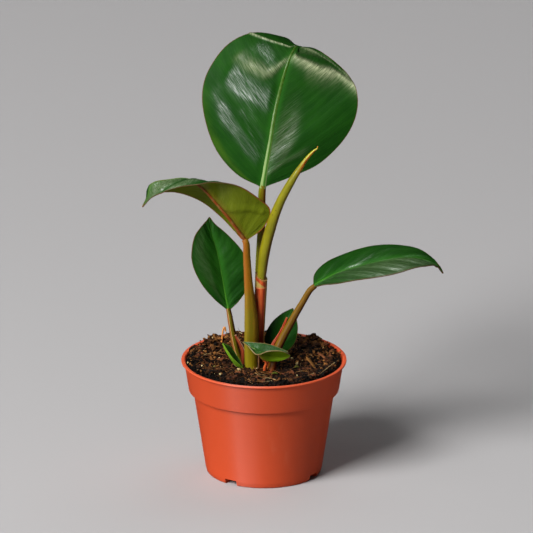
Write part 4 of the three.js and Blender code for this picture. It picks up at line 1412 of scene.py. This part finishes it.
# Papery sheaths: points of the middle line, with the width, the depth of the curl and the direction faced.
STRIPS = {
    "left_sheath": (
        [(-15.3, -4.4, 81), (-15.3, -4.1, 92.5), (-16.8, -3.6, 96.5), (-20.8, -2.6, 104.5)], 3.4, 0.9, -10,
    ),
    "right_sheath": (
        [(1.6, -12.6, 80.5), (4, -9.8, 92.6), (7, -6.6, 98.7), (12.9, -5, 108.6), (16.9, -4.6, 118.7)], 3.8, 0.9, 20,
    ),
    "dry_sheath": ([(-4, -15, 80), (-3.6, -14.6, 86), (-3.8, -13.6, 92.6)], 2, 0.8, 30),
}
STRIP_THICKNESS = 0.35
STRAW_POINTS = [(-31.3, 35, 82), (-30.4, 35, 88.7), (-29.6, 35, 94.8), (-28.7, 35, 96.6), (-27.7, 35, 93.4)]
STRAW_RADII = [0.8, 0.7, 0.7, 0.7, 0.5]


def straw_section(turn, along):
    """The dry straw's section: a flattened round that twists."""
    return 1 + 0.12 * math.sin(2 * turn + 9 * along)


class PHILODENDRON_OT_sheaths(bpy.types.Operator):
    """Curls the three small papery sheaths beside the stalks"""

    bl_idname = "philodendron.sheaths"
    bl_label = "Papery Sheaths"
    bl_options = {"REGISTER", "UNDO"}

    def execute(self, context):
        looks = {
            "left_sheath": (sheath_finish, "red_sheath", "7c2e14", "94401e", "4a180c", "b08868"),
            "right_sheath": (sheath_finish, "red_sheath", "b0401e", "c8603a", "7a2614", "b06a40"),
            "dry_sheath": (plain_finish, "dried_sheath", "4a2c14", "9a6a3a"),
        }
        for name, (points, width, depth, facing) in STRIPS.items():
            line, _ = rooted(points, [1])
            spine = Spine(line, 60, (math.cos(math.radians(facing)), math.sin(math.radians(facing)), 0))
            marks = []

            def place(across, along):
                centre, (side, other, _) = spine.at(along)
                half = width / 2 * (1 - 0.6 * along ** 2) * (1 + 0.05 * math.sin(17 * along + across))
                curl = 0.45 * depth * (across ** 2 - 0.4)
                marks.append((across, 0.0, along))
                return centre + side * across * half + other * (curl + 0.08 * math.sin(9 * along + 3 * across))

            strip = sheet(f"{name}_paper", 14, 60, place)
            marked(strip, "section", marks)
            modified(strip, "SOLIDIFY", thickness=STRIP_THICKNESS * MM, offset=0)
            smoothed(strip)
            kind, slot, *tones = looks[name]
            finished(strip, slot, name, finish=kind(name.replace("_", " "), *tones))
        return {"FINISHED"}


class PHILODENDRON_OT_dry_stalk(bpy.types.Operator):
    """Stands the hooked straw of a dried sheath in the soil"""

    bl_idname = "philodendron.dry_stalk"
    bl_label = "Dry Stalk"
    bl_options = {"REGISTER", "UNDO"}

    def execute(self, context):
        points, radii = rooted(STRAW_POINTS, STRAW_RADII)
        straw = round_stem("dry_straw", points, radii, 12, 60, straw_section)
        finished(straw, "dried_sheath", "dry_stalk", finish=plain_finish("dry straw", "cf7c34", "e8a860"))
        return {"FINISHED"}


# The stage
VIEW_ELEVATION = 19.8
VIEW_CENTRE = (1.88, 0, 156.3)
VIEW_SPAN = 386.2
SENSOR = 36.0
CLIP_END = 30
FLOOR = {"vertices": 96, "radius": 6, "fill_type": "NGON"}
LAMP_DISTANCE = 5.0
# Lamps: the setting that gives their power, the share of it, azimuth and height in degrees, and width in
# metres. The key's lamps light what is matt and the sheen's what is glossy.
LAMPS = (
    ("key", "key", 1.0, -44, 37, 2.4),
    ("fill", "key", 0.08, 150, 60, 2.4),
    ("side_sheen", "sheen", 1.0, -46, 25, 1.1),
    ("front_sheen", "sheen", 0.42, -24, 25, 1.1),
    ("overhead", "sheen", 1.6, -60, 75, 2.2),
)


class PHILODENDRON_OT_stage(bpy.types.Operator):
    """Sets the plain floor, the soft light and the camera"""

    bl_idname = "philodendron.stage"
    bl_label = "Stage"
    bl_options = {"REGISTER", "UNDO"}

    def execute(self, context):
        settings = context.scene.philodendron_stage
        floor = primitive(bpy.ops.mesh.primitive_circle_add, "floor", **FLOOR)
        shader = Shader("plain floor")
        shader.base = (*settings.floor, 1)
        floor.data.materials.append(shader.finish(0.75 + shader.grain(shader.place(), 3.0) * 0.1))
        floor.visible_glossy = False
        world = bpy.data.worlds.new("even light")
        world.use_nodes = True
        world.node_tree.nodes["Background"].inputs["Color"].default_value = (*settings.sky, 1)
        context.scene.world = world
        target = Vector(VIEW_CENTRE) * MM
        for name, source, share, azimuth, height, width in LAMPS:
            turn, lift = math.radians(azimuth), math.radians(height)
            toward = Vector((math.sin(turn) * math.cos(lift), -math.cos(turn) * math.cos(lift), math.sin(lift)))
            place = target + toward * LAMP_DISTANCE
            lamp = added(bpy.ops.object.light_add, f"{name}_light", type="AREA", location=place)
            lamp.data.size = width
            lamp.data.energy = getattr(settings, source) * share
            lamp.rotation_euler = toward.to_track_quat("Z", "Y").to_euler()
            lamp.visible_glossy = source == "sheen"
            lamp.visible_diffuse = source == "key"
        tilt = math.radians(VIEW_ELEVATION)
        place = target + Vector((0, -math.cos(tilt), math.sin(tilt))) * settings.distance
        level = math.pi / 2
        camera = added(bpy.ops.object.camera_add, "front_view", location=place, rotation=(level - tilt, 0, 0))
        camera.data.sensor_width = SENSOR
        camera.data.lens = SENSOR * settings.distance / (VIEW_SPAN * MM)
        camera.data.clip_end = CLIP_END
        context.scene.camera = camera
        context.scene.view_settings.view_transform = "Standard"
        return {"FINISHED"}


class PHILODENDRON_PT_panel(bpy.types.Panel):
    """Lists the philodendron's pieces and their settings"""

    bl_label = "Philodendron"
    bl_idname = "PHILODENDRON_PT_panel"
    bl_space_type = "VIEW_3D"
    bl_region_type = "UI"
    bl_category = "Philodendron"

    def draw(self, context):
        for settings_name, operators in PANEL_ROWS:
            box = self.layout.box()
            for operator in operators:
                box.operator(operator.bl_idname)
            settings = getattr(context.scene, settings_name)
            for key in settings.__annotations__:
                box.prop(settings, key)


SETTINGS = {
    "philodendron_pot": PotSettings,
    "philodendron_soil": SoilSettings,
    "philodendron_leaf": LeafSettings,
    "philodendron_stalk": StalkSettings,
    "philodendron_stage": StageSettings,
}
PANEL_ROWS = [
    ("philodendron_pot", [PHILODENDRON_OT_pot]),
    ("philodendron_soil", [PHILODENDRON_OT_soil]),
    ("philodendron_leaf", [PHILODENDRON_OT_blades]),
    (
        "philodendron_stalk",
        [PHILODENDRON_OT_stalks, PHILODENDRON_OT_new_leaf, PHILODENDRON_OT_sheaths, PHILODENDRON_OT_dry_stalk],
    ),
    ("philodendron_stage", [PHILODENDRON_OT_stage]),
]
OPERATORS = [operator for _, operators in PANEL_ROWS for operator in operators]


def register():
    for kind in (*SETTINGS.values(), *OPERATORS, PHILODENDRON_PT_panel):
        bpy.utils.register_class(kind)
    for name, kind in SETTINGS.items():
        setattr(bpy.types.Scene, name, PointerProperty(type=kind))


def unregister():
    for name in SETTINGS:
        delattr(bpy.types.Scene, name)
    for kind in (PHILODENDRON_PT_panel, *reversed(OPERATORS), *reversed(list(SETTINGS.values()))):
        bpy.utils.unregister_class(kind)


def main():
    """Builds every piece in order."""
    register()
    bpy.ops.philodendron.stage()
    bpy.ops.philodendron.pot()
    bpy.ops.philodendron.soil()
    bpy.ops.philodendron.blades()
    bpy.ops.philodendron.stalks()
    bpy.ops.philodendron.new_leaf()
    bpy.ops.philodendron.sheaths()
    bpy.ops.philodendron.dry_stalk()
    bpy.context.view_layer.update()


if __name__ == "__main__":
    main()
